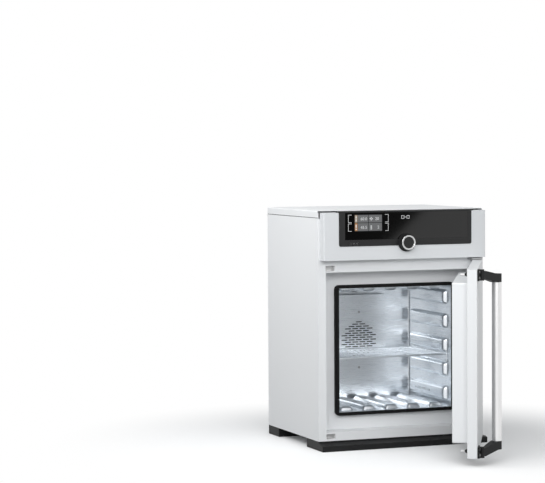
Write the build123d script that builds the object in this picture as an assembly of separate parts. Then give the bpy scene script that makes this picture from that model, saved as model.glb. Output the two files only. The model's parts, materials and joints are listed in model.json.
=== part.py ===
from build123d import *
import os
from math import atan2, cos, degrees, hypot, radians, sin

# Laboratory drying oven, bench-top, 53-litre class, shown with its door open.
# Millimetres. X runs to the right, Y to the back, Z up.
# The origin is on the floor, at mid-width, in the plane of the front frame's face.

# Cabinet
CABINET_WIDTH = 585.0
CABINET_DEPTH = 450.0
CABINET_HEIGHT = 770.0
CASING_SHEET = 1.5
CASING_SEAM = 0.2
FRONT_MID_Z = 314.5
FRAME_TOP_Z = 745.0

# Top cover and joggled side panels
COVER_SKIRT = 22.0
COVER_FRONT_GAP = 4.0
COVER_FOLD_RADIUS = 4.0
JOGGLE_OVERLAP = 16.0
JOGGLE_RISE = 3.0
JOGGLE_GROOVE = 1.0
JOGGLE_CLEARANCE = 0.3

# Foot rails and base tray
RAIL_HEIGHT = 30.0
RAIL_WALL = 3.0
RAIL_POCKETS = 8
FRONT_RAIL_NOSE = 34.0
FRONT_RAIL_BACK_Y = 104.0
RAIL_NOSE_HEIGHT = 18.0
RAIL_SHOULDER_HEIGHT = 25.2
REAR_RAIL_LENGTH = 96.0
RAIL_EDGE_RADIUS = 3.0
TRAY_FLANGE = 14.0

# Stepped door recess in the front frame
RECESS_HALF_WIDTH = 265.0
RECESS_HALF_HEIGHT = 257.0
RECESS_DEPTH = 62.0

# Chamber
CHAMBER_SIDE = 400.0
CHAMBER_DEPTH = 330.0
CHAMBER_FRONT_Y = 50.0
LINER_SHEET = 1.2
LINER_CLEARANCE = 0.2

# Embossed pads on the chamber walls
PAD_COUNT = 5
PAD_PITCH = 80.0
PAD_BASE_HEIGHT = 47.0
PAD_FLAT_HEIGHT = 27.5
PAD_PROUD = 12.0
PAD_FRONT_MARGIN = 28.0
PAD_BACK_MARGIN = 22.0
PAD_END_SLOPE = 13.0
PAD_BASE_RADIUS = 9.0
PAD_FLAT_RADIUS = 5.0
PAD_EMBOSS_SHEET = 1.6

# Sensor slots in the lowest pad of the right wall
SENSOR_SLOTS = 12
SENSOR_SLOT_PITCH = 10.0
SENSOR_SLOT_LENGTH = 2.6
SENSOR_SLOT_HEIGHT = 7.0
SENSOR_SLOT_START = 137.0

# Gasket round the chamber mouth
GASKET_WIDTH = 10.6
GASKET_CORNER_RADIUS = 15.0
GASKET_BEAD_RADIUS = 4.5
GASKET_TO_PLUG = 0.3

# Fan, baffle and motor on the chamber's rear wall
FAN_Z = 317.0
BAFFLE_HALF_WIDTH = 98.5
BAFFLE_BOTTOM_Z = 167.0
BAFFLE_TOP_Z = 470.0
BAFFLE_STAND_OFF = 28.0
BAFFLE_SCREW_Z = (222.6, 411.0)
BAFFLE_SCREW_RADIUS = 2.0
BAFFLE_SCREW_HEAD_RADIUS = 4.2
BAFFLE_SCREW_HEAD = 1.8
GRILLE_RADIUS = 63.0
GRILLE_ROW_PITCH = 7.6
GRILLE_SLOT_LENGTH = 22.0
GRILLE_SLOT_HEIGHT = 3.5
GRILLE_SLOT_PITCH = 26.5
BAFFLE_SIDE_VENTS = 5
BAFFLE_VENT_HEIGHT = 36.0
BAFFLE_VENT_DEPTH = 14.0
FAN_RADIUS = 60.0
FAN_EYE_RADIUS = 36.0
FAN_DEPTH = 18.0
FAN_BLADES = 18
FAN_BLADE_SHEET = 1.0
FAN_BLADE_LEAN = 30.0
FAN_REAR_GAP = 3.5
FAN_HUB_RADIUS = 9.0
FAN_SHAFT_RADIUS = 4.0
SHAFT_FIT = 0.06
SHAFT_HOLE_CLEARANCE = 1.5
MOTOR_RADIUS = 42.0
MOTOR_FRONT_Y = 408.0
MOTOR_FLANGE_HALF = 52.0
MOTOR_FLANGE = 4.0
MOTOR_BORE_DEPTH = 22.0

# Exhaust through the rear wall
EXHAUST_Z = 479.0
EXHAUST_RADIUS = 26.0
EXHAUST_WALL = 2.0
EXHAUST_SHOULDER = 1.0
EXHAUST_STAND_OUT = 30.0
EXHAUST_SLOTS = 3
EXHAUST_SLOT_LENGTH = 18.5
EXHAUST_SLOT_HEIGHT = 3.2
EXHAUST_SLOT_PITCH = 7.6
EXHAUST_SLOT_X = -3.5
SENSOR_HOLE_X = 11.3
SENSOR_RADIUS = 2.2
SENSOR_STAND_OUT = 6.0
FLAP_SHEET = 1.5
FLAP_CLEARANCE = 0.8
FLAP_FROM_END = 52.0
FLAP_SPINDLE_RADIUS = 2.5

# Insulation, heaters and electronics deck
HEATER_SHEET = 2.0
HEATER_LENGTH = 250.0
INSULATION_GAP = 0.3
INSULATION_REAR_THICKNESS = 22.0
DECK_Z = 606.0
POWER_BOARD_LENGTH = 180.0
POWER_BOARD_WIDTH = 120.0
BOARD_SHEET = 1.6

# Mains inlet
INLET_X = 205.0
INLET_Z = 90.0
INLET_WIDTH = 48.0
INLET_HEIGHT = 30.0
INLET_STAND_OUT = 3.0
INLET_DEPTH = 24.0

# Fascia and control panel
FASCIA_HALF_WIDTH = 285.5
FASCIA_BOTTOM_Z = 611.0
FASCIA_TOP_Z = 764.0
FASCIA_DEPTH = 34.0
FASCIA_WALL = 2.0
FASCIA_EDGE_RADIUS = 3.0
BEZEL_HALF_WIDTH = 234.0
BEZEL_BOTTOM_Z = 655.5
BEZEL_THICKNESS = 1.5
BEZEL_CORNER_RADIUS = 6.0
BEZEL_LIP_HALF_WIDTH = 239.0
BEZEL_LIP_HEIGHT = 4.5
BEZEL_LIP_PROUD = 1.0
BEZEL_LIP_DEPTH = 17.0
GLASS_LEFT_X = -213.0
GLASS_RIGHT_X = 220.0
GLASS_BOTTOM_Z = 676.0
GLASS_THICKNESS = 1.0
GLASS_RECESS = 0.1
SCREEN_LEFT_X = -180.4
SCREEN_RIGHT_X = -83.7
SCREEN_BOTTOM_Z = 703.3
SCREEN_TOP_Z = 756.7
SCREEN_RECESS = 0.15
PANEL_FIT = 0.15
CONTROL_BOARD_Y = -14.0
CONTROL_BOARD_HALF_WIDTH = 205.0
CONTROL_BOARD_BOTTOM_Z = 640.0
CONTROL_BOARD_TOP_Z = 756.0
BOARD_POST_RADIUS = 4.0

# Control knob
KNOB_Z = 664.8
KNOB_SKIRT_RADIUS = 29.0
KNOB_NECK_RADIUS = 24.0
KNOB_DEPTH = 20.0
KNOB_GAP = 1.7
KNOB_PUSH = 1.2
KNOB_RING_OUTER = 23.6
KNOB_RING_INNER = 18.6
KNOB_RING_PROUD = 0.8
KNOB_CAP_RECESS = 0.6
ENCODER_SHAFT_RADIUS = 3.0
ENCODER_FIT = 0.06
ENCODER_RADIUS = 8.0
ENCODER_LENGTH = 15.0
PLUNGER_RADIUS = 5.0
PLUNGER_LENGTH = 3.0

# Main switch button
BUTTON_X = -182.6
BUTTON_Z = 664.5
BUTTON_WIDTH = 30.0
BUTTON_HEIGHT = 9.0
BUTTON_LENGTH = 10.0
BUTTON_PUSH = 1.5
BUTTON_CLEARANCE = 0.35

# Door, described closed and then swung open about its hinge pins
DOOR_OPEN_ANGLE = 61.75
DOOR_FREE_X = -284.0
DOOR_HALF_HEIGHT = 287.0
DOOR_THICKNESS = 31.5
DOOR_TO_FRAME = 2.5
DOOR_EDGE_RADIUS = 3.0
DOOR_SHEET = 1.5
HINGE_X = 265.25
HINGE_PIN_RADIUS = 4.0
HINGE_PIN_LENGTH = 22.0
HINGE_PIN_FIT = 0.06
HINGE_BUSH_RADIUS = 7.0
HINGE_BUSH_LENGTH = 20.0
HINGE_PLATE = 5.0
HINGE_PLATE_GAP = 1.5
HINGE_PLATE_WIDTH = 44.0
HINGE_LOWER_REACH = 42.0
HINGE_POCKET_CLEARANCE = 0.5

# Plug on the inside of the door
PLUG_FREE_X = -257.0
PLUG_HINGE_X = 252.0
PLUG_HALF_HEIGHT = 245.5
PLUG_DEPTH = 46.5
PLUG_SHEET = 1.2
PLUG_EDGE_RADIUS = 5.0
PLUG_WINDOW_MARGIN = 8.0

# Door handle with its latch pins
HANDLE_AXIS_X = -265.0
HANDLE_AXIS_Y = -48.0
HANDLE_BAR_X = -190.0
HANDLE_BAR_Y = -90.2
HANDLE_BAR_RADIUS = 15.0
HANDLE_BAR_HALF_LENGTH = 244.0
KNUCKLE_RADIUS = 6.3
KNUCKLE_LOW = 257.5
KNUCKLE_HIGH = 282.5
KNUCKLE_LUG = 4.2
KNUCKLE_LUG_GAP = 0.3
ARM_BLOCK_LOW = 244.0
ARM_BLOCK_HIGH = 270.0
CORNER_PLATE = 6.0
CORNER_PLATE_LENGTH = 78.0
CORNER_PLATE_HEIGHT = 35.0
PIVOT_PIN_RADIUS = 2.5
PIVOT_PIN_FIT = 0.06
LATCH_PIN_X = -243.0
LATCH_OFFSET_Z = 270.0
LATCH_PIN_RADIUS = 3.5
LATCH_PIN_REACH = 20.5
LATCH_CONE_RADIUS = 7.5
LATCH_CONE_LENGTH = 8.5
LATCH_ROOT_DEPTH = 8.0
LATCH_ROOT_RADIUS = 6.0
LATCH_CRANK_WIDTH = 8.0
LATCH_CRANK_HEIGHT = 9.0
HANDLE_SWING = 13.0
LATCH_SLOT_CLEARANCE = 1.6

# Latch strikes behind the front frame
STRIKE_LEFT_X = -266.0
STRIKE_RIGHT_X = -235.0
STRIKE_HEIGHT = 16.5
STRIKE_DEPTH = 25.0
STRIKE_WALL = 2.6
STRIKE_LIP_X = -260.5
STRIKE_LIP_DEPTH = 10.0
STRIKE_UNDERCUT = 6.5

# Door buffer
BUFFER_X = 186.0
BUFFER_Z = 604.8
BUFFER_RADIUS = 3.0
BUFFER_PROUD = 2.0

# Wire shelf
SHELF_PLANE_Z = 286.0
SHELF_FRONT_Y = 75.0
SHELF_BACK_Y = 345.0
SHELF_FRAME_RADIUS = 2.5
SHELF_WIRE_RADIUS = 1.5
SHELF_WIRE_COUNT = 23
SHELF_WIRE_PITCH = 16.6
SHELF_WALL_CLEARANCE = 0.4
SHELF_RUNNER_Z = 259.4
SHELF_HOOK_Z = 295.0
SHELF_BEND_RADIUS = 5.0

# Casing screws
SCREW_RADIUS = 4.0
SCREW_HEAD = 1.6

# Values that follow from the driving dimensions
HALF_WIDTH = CABINET_WIDTH / 2
HALF_CHAMBER = CHAMBER_SIDE / 2
CHAMBER_BACK_Y = CHAMBER_FRONT_Y + CHAMBER_DEPTH
CHAMBER_LOW_Z = FRONT_MID_Z - HALF_CHAMBER
CHAMBER_HIGH_Z = FRONT_MID_Z + HALF_CHAMBER
HINGE_Y = -DOOR_TO_FRAME - DOOR_THICKNESS / 2
DOOR_LOW_Z = FRONT_MID_Z - DOOR_HALF_HEIGHT
DOOR_HIGH_Z = FRONT_MID_Z + DOOR_HALF_HEIGHT
DOOR_BACK_Y = -DOOR_TO_FRAME
DOOR_FRONT_Y = -DOOR_TO_FRAME - DOOR_THICKNESS
PLUG_FACE_Y = DOOR_BACK_Y + PLUG_DEPTH
GASKET_FRONT_Y = PLUG_FACE_Y + GASKET_TO_PLUG
INNER_CASING_X = HALF_WIDTH - CASING_SHEET
REAR_PANEL_Y = CABINET_DEPTH - CASING_SHEET
FASCIA_FRONT_Y = -FASCIA_DEPTH
BEZEL_FRONT_Y = FASCIA_FRONT_Y - BEZEL_THICKNESS
BAFFLE_FRONT_Y = CHAMBER_BACK_Y - BAFFLE_STAND_OFF
KNOB_REAR_Y = BEZEL_FRONT_Y - KNOB_GAP
KNOB_FRONT_Y = KNOB_REAR_Y - KNOB_DEPTH
SKIRT_BOTTOM_Z = CABINET_HEIGHT - COVER_SKIRT
LINER_OUTER = HALF_CHAMBER + LINER_SHEET
DECK_TOP_Z = DECK_Z + CASING_SHEET
CASING_INNER_X = INNER_CASING_X - CASING_SEAM
BOTH_SIDES = (-1, 1)


def block(x0, x1, y0, y1, z0, z1):
    """Box between two corners."""
    return Pos((x0 + x1) / 2, (y0 + y1) / 2, (z0 + z1) / 2) * Box(x1 - x0, y1 - y0, z1 - z0)


def post(x, y, z0, z1, radius):
    """Round bar along Z."""
    return Pos(x, y, (z0 + z1) / 2) * Cylinder(radius, z1 - z0)


def bar_y(x, z, y0, y1, radius):
    """Round bar along Y."""
    return Pos(x, (y0 + y1) / 2, z) * Rot(90, 0, 0) * Cylinder(radius, y1 - y0)


def bar_x(y, z, x0, x1, radius):
    """Round bar along X."""
    return Pos((x0 + x1) / 2, y, z) * Rot(0, 90, 0) * Cylinder(radius, x1 - x0)


def prism_z(points, z0, z1):
    """Upright prism on an outline in X and Y."""
    return extrude(Pos(0, 0, z0) * Polygon(*points, align=None), z1 - z0, dir=(0, 0, 1))


def prism_y(points, y0, y1):
    """Prism along Y on an outline in X and Z."""
    plane = Plane(origin=(0, y0, 0), x_dir=(1, 0, 0), z_dir=(0, -1, 0))
    return extrude(plane * Polygon(*points, align=None), y1 - y0, dir=(0, 1, 0))


def prism_x(points, x0, x1):
    """Prism along X on an outline in Y and Z."""
    plane = Plane(origin=(x0, 0, 0), x_dir=(0, 1, 0), z_dir=(1, 0, 0))
    return extrude(plane * Polygon(*points, align=None), x1 - x0, dir=(1, 0, 0))


def mid_mirror(shape):
    """Copy of an upper door or latch piece for the lower end."""
    return mirror(shape, about=Plane.XY.offset(FRONT_MID_Z))


def swung_open(shape):
    """Door piece turned about the hinge pins to the angle of the open door."""
    turn = Pos(HINGE_X, HINGE_Y, 0) * Rot(0, 0, DOOR_OPEN_ANGLE) * Pos(-HINGE_X, -HINGE_Y, 0)
    return turn * shape


# Chamber walls

def embossed_pad():
    """One shelf pad: a long rounded frustum standing on Z = 0, running along Y."""
    base_length = CHAMBER_DEPTH - PAD_FRONT_MARGIN - PAD_BACK_MARGIN
    base_mid_y = CHAMBER_FRONT_Y + PAD_FRONT_MARGIN + base_length / 2
    flat_length = base_length - 2 * PAD_END_SLOPE
    base = Pos(0, base_mid_y, 0) * RectangleRounded(PAD_BASE_HEIGHT, base_length, PAD_BASE_RADIUS)
    flat = Pos(0, base_mid_y, PAD_PROUD) * RectangleRounded(PAD_FLAT_HEIGHT, flat_length, PAD_FLAT_RADIUS)
    return loft([base, flat])


def embossed_sheet(half_width):
    """Liner sheet lying under Z = 0 along Y with its row of pads pressed up out of it."""
    sheet = block(-half_width, half_width, CHAMBER_FRONT_Y, CHAMBER_BACK_Y, -LINER_SHEET, 0)
    pad = embossed_pad()
    places = [(index - (PAD_COUNT - 1) / 2) * PAD_PITCH for index in range(PAD_COUNT)]
    for place in places:
        sheet += Pos(place, 0, 0) * pad
    for place in places:
        sheet -= Pos(place, 0, -PAD_EMBOSS_SHEET) * pad
    return sheet


def chamber_side_wall(side):
    """Side wall; its sheet covers the edges of floor and ceiling."""
    sheet = embossed_sheet(LINER_OUTER)
    wall = Pos(side * HALF_CHAMBER, 0, FRONT_MID_Z) * Rot(0, -side * 90, 0) * sheet
    if side > 0:
        row_z = FRONT_MID_Z - (PAD_COUNT - 1) / 2 * PAD_PITCH
        for index in range(SENSOR_SLOTS):
            y0 = CHAMBER_FRONT_Y + SENSOR_SLOT_START + index * SENSOR_SLOT_PITCH
            wall -= block(
                HALF_CHAMBER - PAD_PROUD - 1, HALF_CHAMBER,
                y0, y0 + SENSOR_SLOT_LENGTH,
                row_z - SENSOR_SLOT_HEIGHT / 2, row_z + SENSOR_SLOT_HEIGHT / 2,
            )
    return wall


def chamber_floor():
    return Pos(0, 0, CHAMBER_LOW_Z) * embossed_sheet(HALF_CHAMBER)


def chamber_ceiling():
    return Pos(0, 0, CHAMBER_HIGH_Z) * Rot(0, 180, 0) * embossed_sheet(HALF_CHAMBER)


def exhaust_slot_heights():
    """Heights of the short slots in the rear wall, centred on the exhaust."""
    return [EXHAUST_Z + (index - (EXHAUST_SLOTS - 1) / 2) * EXHAUST_SLOT_PITCH for index in range(EXHAUST_SLOTS)]


def chamber_rear_wall():
    """Flat rear wall with the shaft hole, the exhaust slots and the sensor hole."""
    wall = block(
        -LINER_OUTER, LINER_OUTER, CHAMBER_BACK_Y, CHAMBER_BACK_Y + LINER_SHEET,
        CHAMBER_LOW_Z - LINER_SHEET, CHAMBER_HIGH_Z + LINER_SHEET,
    )
    behind = CHAMBER_BACK_Y + LINER_SHEET
    wall -= bar_y(0, FAN_Z, CHAMBER_BACK_Y, behind, FAN_SHAFT_RADIUS + SHAFT_HOLE_CLEARANCE)
    wall -= bar_y(SENSOR_HOLE_X, EXHAUST_Z, CHAMBER_BACK_Y, behind, SENSOR_RADIUS + LINER_CLEARANCE)
    for z in exhaust_slot_heights():
        half = EXHAUST_SLOT_LENGTH / 2
        wall -= block(
            EXHAUST_SLOT_X - half, EXHAUST_SLOT_X + half, CHAMBER_BACK_Y, behind,
            z - EXHAUST_SLOT_HEIGHT / 2, z + EXHAUST_SLOT_HEIGHT / 2,
        )
    return wall


# Fan baffle, fan and motor

def grille_places():
    """Centres of the staggered grille slots that lie inside the round field."""
    places = []
    rows = int(GRILLE_RADIUS // GRILLE_ROW_PITCH)
    for row in range(-rows, rows + 1):
        shift = GRILLE_SLOT_PITCH / 2 if row % 2 else 0
        for column in range(-rows, rows + 1):
            x = column * GRILLE_SLOT_PITCH + shift
            z = row * GRILLE_ROW_PITCH
            if hypot(abs(x) + GRILLE_SLOT_LENGTH / 2, z) <= GRILLE_RADIUS + GRILLE_SLOT_HEIGHT:
                places.append((x, z))
    return places


def fan_baffle():
    """Folded cover in front of the fan: slotted face and vented side flanges."""
    front = BAFFLE_FRONT_Y
    back = CHAMBER_BACK_Y
    baffle = block(
        -BAFFLE_HALF_WIDTH, BAFFLE_HALF_WIDTH, front, front + LINER_SHEET, BAFFLE_BOTTOM_Z, BAFFLE_TOP_Z
    )
    slots = Sketch() + [
        Pos(x, z) * SlotOverall(GRILLE_SLOT_LENGTH, GRILLE_SLOT_HEIGHT) for x, z in grille_places()
    ]
    plane = Plane(origin=(0, front, FAN_Z), x_dir=(1, 0, 0), z_dir=(0, -1, 0))
    baffle -= extrude(plane * slots, -LINER_SHEET)
    for z in BAFFLE_SCREW_Z:
        baffle -= bar_y(0, z, front, front + LINER_SHEET, BAFFLE_SCREW_RADIUS + LINER_CLEARANCE)
    span = BAFFLE_TOP_Z - BAFFLE_BOTTOM_Z
    pitch = span / BAFFLE_SIDE_VENTS
    for side in BOTH_SIDES:
        x0 = side * BAFFLE_HALF_WIDTH
        x1 = x0 - side * LINER_SHEET
        flange = block(min(x0, x1), max(x0, x1), front, back, BAFFLE_BOTTOM_Z, BAFFLE_TOP_Z)
        for index in range(BAFFLE_SIDE_VENTS):
            z = BAFFLE_BOTTOM_Z + (index + 0.5) * pitch
            y = (front + back) / 2
            flange -= block(
                min(x0, x1), max(x0, x1), y - BAFFLE_VENT_DEPTH / 2, y + BAFFLE_VENT_DEPTH / 2,
                z - BAFFLE_VENT_HEIGHT / 2, z + BAFFLE_VENT_HEIGHT / 2,
            )
        baffle += flange
    return baffle


def baffle_screws():
    """Two long screws that hold the baffle to the rear wall."""
    front = BAFFLE_FRONT_Y
    screws = []
    for z in BAFFLE_SCREW_Z:
        head = bar_y(0, z, front - BAFFLE_SCREW_HEAD, front, BAFFLE_SCREW_HEAD_RADIUS)
        screws.append(head + bar_y(0, z, front, CHAMBER_BACK_Y, BAFFLE_SCREW_RADIUS))
    return screws


def fan_back_y():
    return CHAMBER_BACK_Y - FAN_REAR_GAP


def fan_impeller():
    """Radial impeller: back disc, leaning blades, front ring and hub."""
    back = fan_back_y()
    front = back - FAN_DEPTH
    sheet = LINER_SHEET
    wheel = bar_y(0, FAN_Z, back - sheet, back, FAN_RADIUS)
    ring = bar_y(0, FAN_Z, front, front + sheet, FAN_RADIUS)
    ring -= bar_y(0, FAN_Z, front, front + sheet, FAN_EYE_RADIUS)
    blade_length = FAN_RADIUS - FAN_EYE_RADIUS - sheet
    blade_mid = (FAN_RADIUS + FAN_EYE_RADIUS) / 2
    for index in range(FAN_BLADES):
        blade = Pos(blade_mid, 0, 0) * Rot(0, 0, FAN_BLADE_LEAN) * Box(blade_length, FAN_BLADE_SHEET, FAN_DEPTH)
        turned = Rot(0, 0, index * 360 / FAN_BLADES) * blade
        wheel += Pos(0, (front + back) / 2, FAN_Z) * Rot(90, 0, 0) * turned
    wheel += ring
    wheel += bar_y(0, FAN_Z, front + sheet, back, FAN_HUB_RADIUS)
    wheel -= bar_y(0, FAN_Z, front, back, FAN_SHAFT_RADIUS)
    return wheel


def fan_shaft():
    """Shaft from the hub through the rear wall into the motor."""
    return bar_y(0, FAN_Z, fan_back_y() - FAN_DEPTH, MOTOR_FRONT_Y + MOTOR_BORE_DEPTH - 2, FAN_SHAFT_RADIUS)


def fan_motor():
    """Motor barrel with a square flange on the rear panel."""
    flange_front = REAR_PANEL_Y - MOTOR_FLANGE
    motor = bar_y(0, FAN_Z, MOTOR_FRONT_Y, flange_front, MOTOR_RADIUS)
    motor += block(
        -MOTOR_FLANGE_HALF, MOTOR_FLANGE_HALF, flange_front, REAR_PANEL_Y,
        FAN_Z - MOTOR_FLANGE_HALF, FAN_Z + MOTOR_FLANGE_HALF,
    )
    bore_end = MOTOR_FRONT_Y + MOTOR_BORE_DEPTH
    return motor - bar_y(0, FAN_Z, MOTOR_FRONT_Y, bore_end, FAN_SHAFT_RADIUS + SHAFT_FIT)


# Exhaust

def flap_y():
    return CABINET_DEPTH + EXHAUST_STAND_OUT - FLAP_FROM_END


def exhaust_duct_radius():
    """Outside radius of the pipe's inner stretch; the spigot's shoulder seats on the rear panel."""
    return EXHAUST_RADIUS - EXHAUST_SHOULDER


def exhaust_pipe():
    """Pipe from the chamber's rear wall to the spigot outside, with the flap's bearing holes."""
    start = CHAMBER_BACK_Y + LINER_SHEET
    end = CABINET_DEPTH + EXHAUST_STAND_OUT
    pipe = bar_y(0, EXHAUST_Z, start, CABINET_DEPTH, exhaust_duct_radius())
    pipe += bar_y(0, EXHAUST_Z, CABINET_DEPTH, end, EXHAUST_RADIUS)
    pipe -= bar_y(0, EXHAUST_Z, start, end, EXHAUST_RADIUS - EXHAUST_WALL)
    hole = post(0, flap_y(), EXHAUST_Z - 2 * EXHAUST_RADIUS, EXHAUST_Z + 2 * EXHAUST_RADIUS,
                FLAP_SPINDLE_RADIUS + SHAFT_FIT)
    return pipe - hole


def exhaust_flap():
    """Round throttle flap on an upright spindle that runs in the pipe's wall."""
    bore = EXHAUST_RADIUS - EXHAUST_WALL
    half = FLAP_SHEET / 2
    flap = bar_y(0, EXHAUST_Z, flap_y() - half, flap_y() + half, bore - FLAP_CLEARANCE)
    reach = exhaust_duct_radius()
    flap += post(0, flap_y(), EXHAUST_Z - reach, EXHAUST_Z + reach, FLAP_SPINDLE_RADIUS)
    return flap


def temperature_sensor():
    """Thin probe that stands through the rear wall into the chamber."""
    end = CHAMBER_BACK_Y + LINER_SHEET + INSULATION_REAR_THICKNESS
    probe = bar_y(SENSOR_HOLE_X, EXHAUST_Z, CHAMBER_BACK_Y - SENSOR_STAND_OUT, end, SENSOR_RADIUS)
    return probe


# Insulation and heaters

def insulation_front_y():
    return RECESS_DEPTH + CASING_SHEET + INSULATION_GAP


def insulation_back_y():
    return CHAMBER_BACK_Y + LINER_SHEET + INSULATION_GAP + INSULATION_REAR_THICKNESS


def insulation_inner():
    """Half size of the insulation's inside: liner, heater and a small gap."""
    return LINER_OUTER + HEATER_SHEET + INSULATION_GAP


def insulation_sides():
    """Upright slabs between the chamber and the side panels."""
    outer = CASING_INNER_X - CASING_SHEET - INSULATION_GAP
    low = RAIL_HEIGHT + CASING_SHEET + INSULATION_GAP
    slabs = []
    for side in BOTH_SIDES:
        x0, x1 = sorted((side * insulation_inner(), side * outer))
        slabs.append(block(x0, x1, insulation_front_y(), insulation_back_y(), low, DECK_Z - INSULATION_GAP))
    return slabs


def insulation_top():
    half = insulation_inner() - INSULATION_GAP
    low = CHAMBER_HIGH_Z + LINER_SHEET + HEATER_SHEET + INSULATION_GAP
    return block(-half, half, insulation_front_y(), insulation_back_y(), low, DECK_Z - INSULATION_GAP)


def insulation_bottom():
    half = insulation_inner() - INSULATION_GAP
    low = RAIL_HEIGHT + CASING_SHEET + INSULATION_GAP
    high = CHAMBER_LOW_Z - LINER_SHEET - HEATER_SHEET - INSULATION_GAP
    return block(-half, half, insulation_front_y(), insulation_back_y(), low, high)


def insulation_rear():
    """Slab behind the chamber, cut out for the fan shaft, the exhaust and the sensor."""
    half = insulation_inner() - INSULATION_GAP
    y0 = CHAMBER_BACK_Y + LINER_SHEET + INSULATION_GAP
    y1 = insulation_back_y()
    slab = block(-half, half, y0, y1, FRONT_MID_Z - half, FRONT_MID_Z + half)
    slab -= bar_y(0, FAN_Z, y0, y1, FAN_SHAFT_RADIUS + 3 * SHAFT_HOLE_CLEARANCE)
    slab -= bar_y(0, EXHAUST_Z, y0, y1, exhaust_duct_radius() + INSULATION_GAP)
    return slab


def heater_mats():
    """Flat heating mats on the outside of the four chamber walls."""
    y0 = CHAMBER_FRONT_Y + (CHAMBER_DEPTH - HEATER_LENGTH) / 2 + CASING_SHEET
    y1 = y0 + HEATER_LENGTH
    half = HALF_CHAMBER
    out = LINER_OUTER + HEATER_SHEET
    low = FRONT_MID_Z - half
    high = FRONT_MID_Z + half
    return [
        block(-out, -LINER_OUTER, y0, y1, low, high),
        block(LINER_OUTER, out, y0, y1, low, high),
        block(-half, half, y0, y1, FRONT_MID_Z + LINER_OUTER, FRONT_MID_Z + out),
        block(-half, half, y0, y1, FRONT_MID_Z - out, FRONT_MID_Z - LINER_OUTER),
    ]


# Casing

def base_tray():
    """Bottom sheet with upturned sides that the side panels are screwed to."""
    half = CASING_INNER_X
    top = RAIL_HEIGHT + CASING_SHEET
    tray = block(-half, half, CASING_SHEET, REAR_PANEL_Y, RAIL_HEIGHT, top)
    for side in BOTH_SIDES:
        x0, x1 = sorted((side * half, side * (half - CASING_SHEET)))
        tray += block(x0, x1, CASING_SHEET, REAR_PANEL_Y, RAIL_HEIGHT, RAIL_HEIGHT + TRAY_FLANGE)
    return tray


def foot_rail(profile, y0, y1, low_wall):
    """Moulded rail across the width, hollow from below between its cross ribs."""
    rail = prism_x(profile, -HALF_WIDTH, HALF_WIDTH)
    ends = rail.faces().group_by(Axis.X)
    rail = fillet(ends[0].edges() + ends[-1].edges(), RAIL_EDGE_RADIUS / 2)
    inner_width = CABINET_WIDTH - 2 * RAIL_WALL
    rib_total = (RAIL_POCKETS - 1) * RAIL_WALL
    pocket = (inner_width - rib_total) / RAIL_POCKETS
    for index in range(RAIL_POCKETS):
        x0 = -HALF_WIDTH + RAIL_WALL + index * (pocket + RAIL_WALL)
        rail -= block(x0, x0 + pocket, y0 + RAIL_WALL, y1 - RAIL_WALL, 0, low_wall - RAIL_WALL)
    return rail


def hinge_plate_span():
    """Left and right edges of the hinge brackets."""
    right = HINGE_X + DOOR_THICKNESS / 2
    return right - HINGE_PLATE_WIDTH, right


def lower_plate_top():
    return DOOR_LOW_Z - HINGE_PLATE_GAP


def front_foot_rail():
    """Front rail with a sloped nose under the door and a pocket for the lower hinge."""
    profile = [
        (-FRONT_RAIL_NOSE, 0), (FRONT_RAIL_BACK_Y, 0), (FRONT_RAIL_BACK_Y, RAIL_HEIGHT), (0, RAIL_HEIGHT),
        (0, RAIL_SHOULDER_HEIGHT), (-FRONT_RAIL_NOSE, RAIL_NOSE_HEIGHT),
    ]
    rail = foot_rail(profile, -FRONT_RAIL_NOSE, FRONT_RAIL_BACK_Y, RAIL_NOSE_HEIGHT)
    x0, x1 = hinge_plate_span()
    gap = HINGE_POCKET_CLEARANCE
    low = lower_plate_top() - HINGE_PLATE - gap
    pocket = block(x0 - gap, HALF_WIDTH, -FRONT_RAIL_NOSE, HINGE_LOWER_REACH + gap, low, RAIL_HEIGHT)
    return rail - pocket


def rear_foot_rail():
    y0 = CABINET_DEPTH - REAR_RAIL_LENGTH
    profile = [(y0, 0), (CABINET_DEPTH, 0), (CABINET_DEPTH, RAIL_HEIGHT), (y0, RAIL_HEIGHT)]
    return foot_rail(profile, y0, CABINET_DEPTH, RAIL_HEIGHT)


def side_panel(side):
    """Side sheet with a joggled top edge that reaches up inside the cover's skirt."""
    outer = HALF_WIDTH
    inner = INNER_CASING_X
    step = CASING_SHEET + JOGGLE_CLEARANCE
    step_z = SKIRT_BOTTOM_Z - JOGGLE_GROOVE - JOGGLE_RISE
    top = SKIRT_BOTTOM_Z + JOGGLE_OVERLAP
    outline = [
        (outer, RAIL_HEIGHT), (outer, step_z), (outer - step, step_z + JOGGLE_RISE), (outer - step, top),
        (inner - step, top), (inner - step, step_z + JOGGLE_RISE), (inner, step_z), (inner, RAIL_HEIGHT),
    ]
    points = [(side * x, z) for x, z in outline]
    panel = prism_y(points, CASING_SHEET + CASING_SEAM, CABINET_DEPTH)
    return panel - block(-outer, outer, REAR_PANEL_Y - CASING_SEAM, CABINET_DEPTH, step_z, top)


def top_cover():
    """Folded cover: top sheet, side skirts with rounded folds and a rear skirt."""
    y0 = COVER_FRONT_GAP
    bottom = SKIRT_BOTTOM_Z
    middle = (bottom + CABINET_HEIGHT) / 2
    plane = Plane(origin=(0, y0, 0), x_dir=(1, 0, 0), z_dir=(0, -1, 0))

    def section(inset, drop):
        sketch = Pos(0, middle - drop / 2) * Rectangle(CABINET_WIDTH - 2 * inset, COVER_SKIRT - inset + drop)
        sketch = Pos(0, -inset / 2) * sketch
        tops = sketch.vertices().group_by(Axis.Y)[-1]
        return fillet(tops, COVER_FOLD_RADIUS - inset)

    outer = extrude(plane * section(0, 0), -(CABINET_DEPTH - y0))
    inner = extrude(plane * section(CASING_SHEET, CASING_SHEET), -(REAR_PANEL_Y - y0))
    return outer - inner


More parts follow.
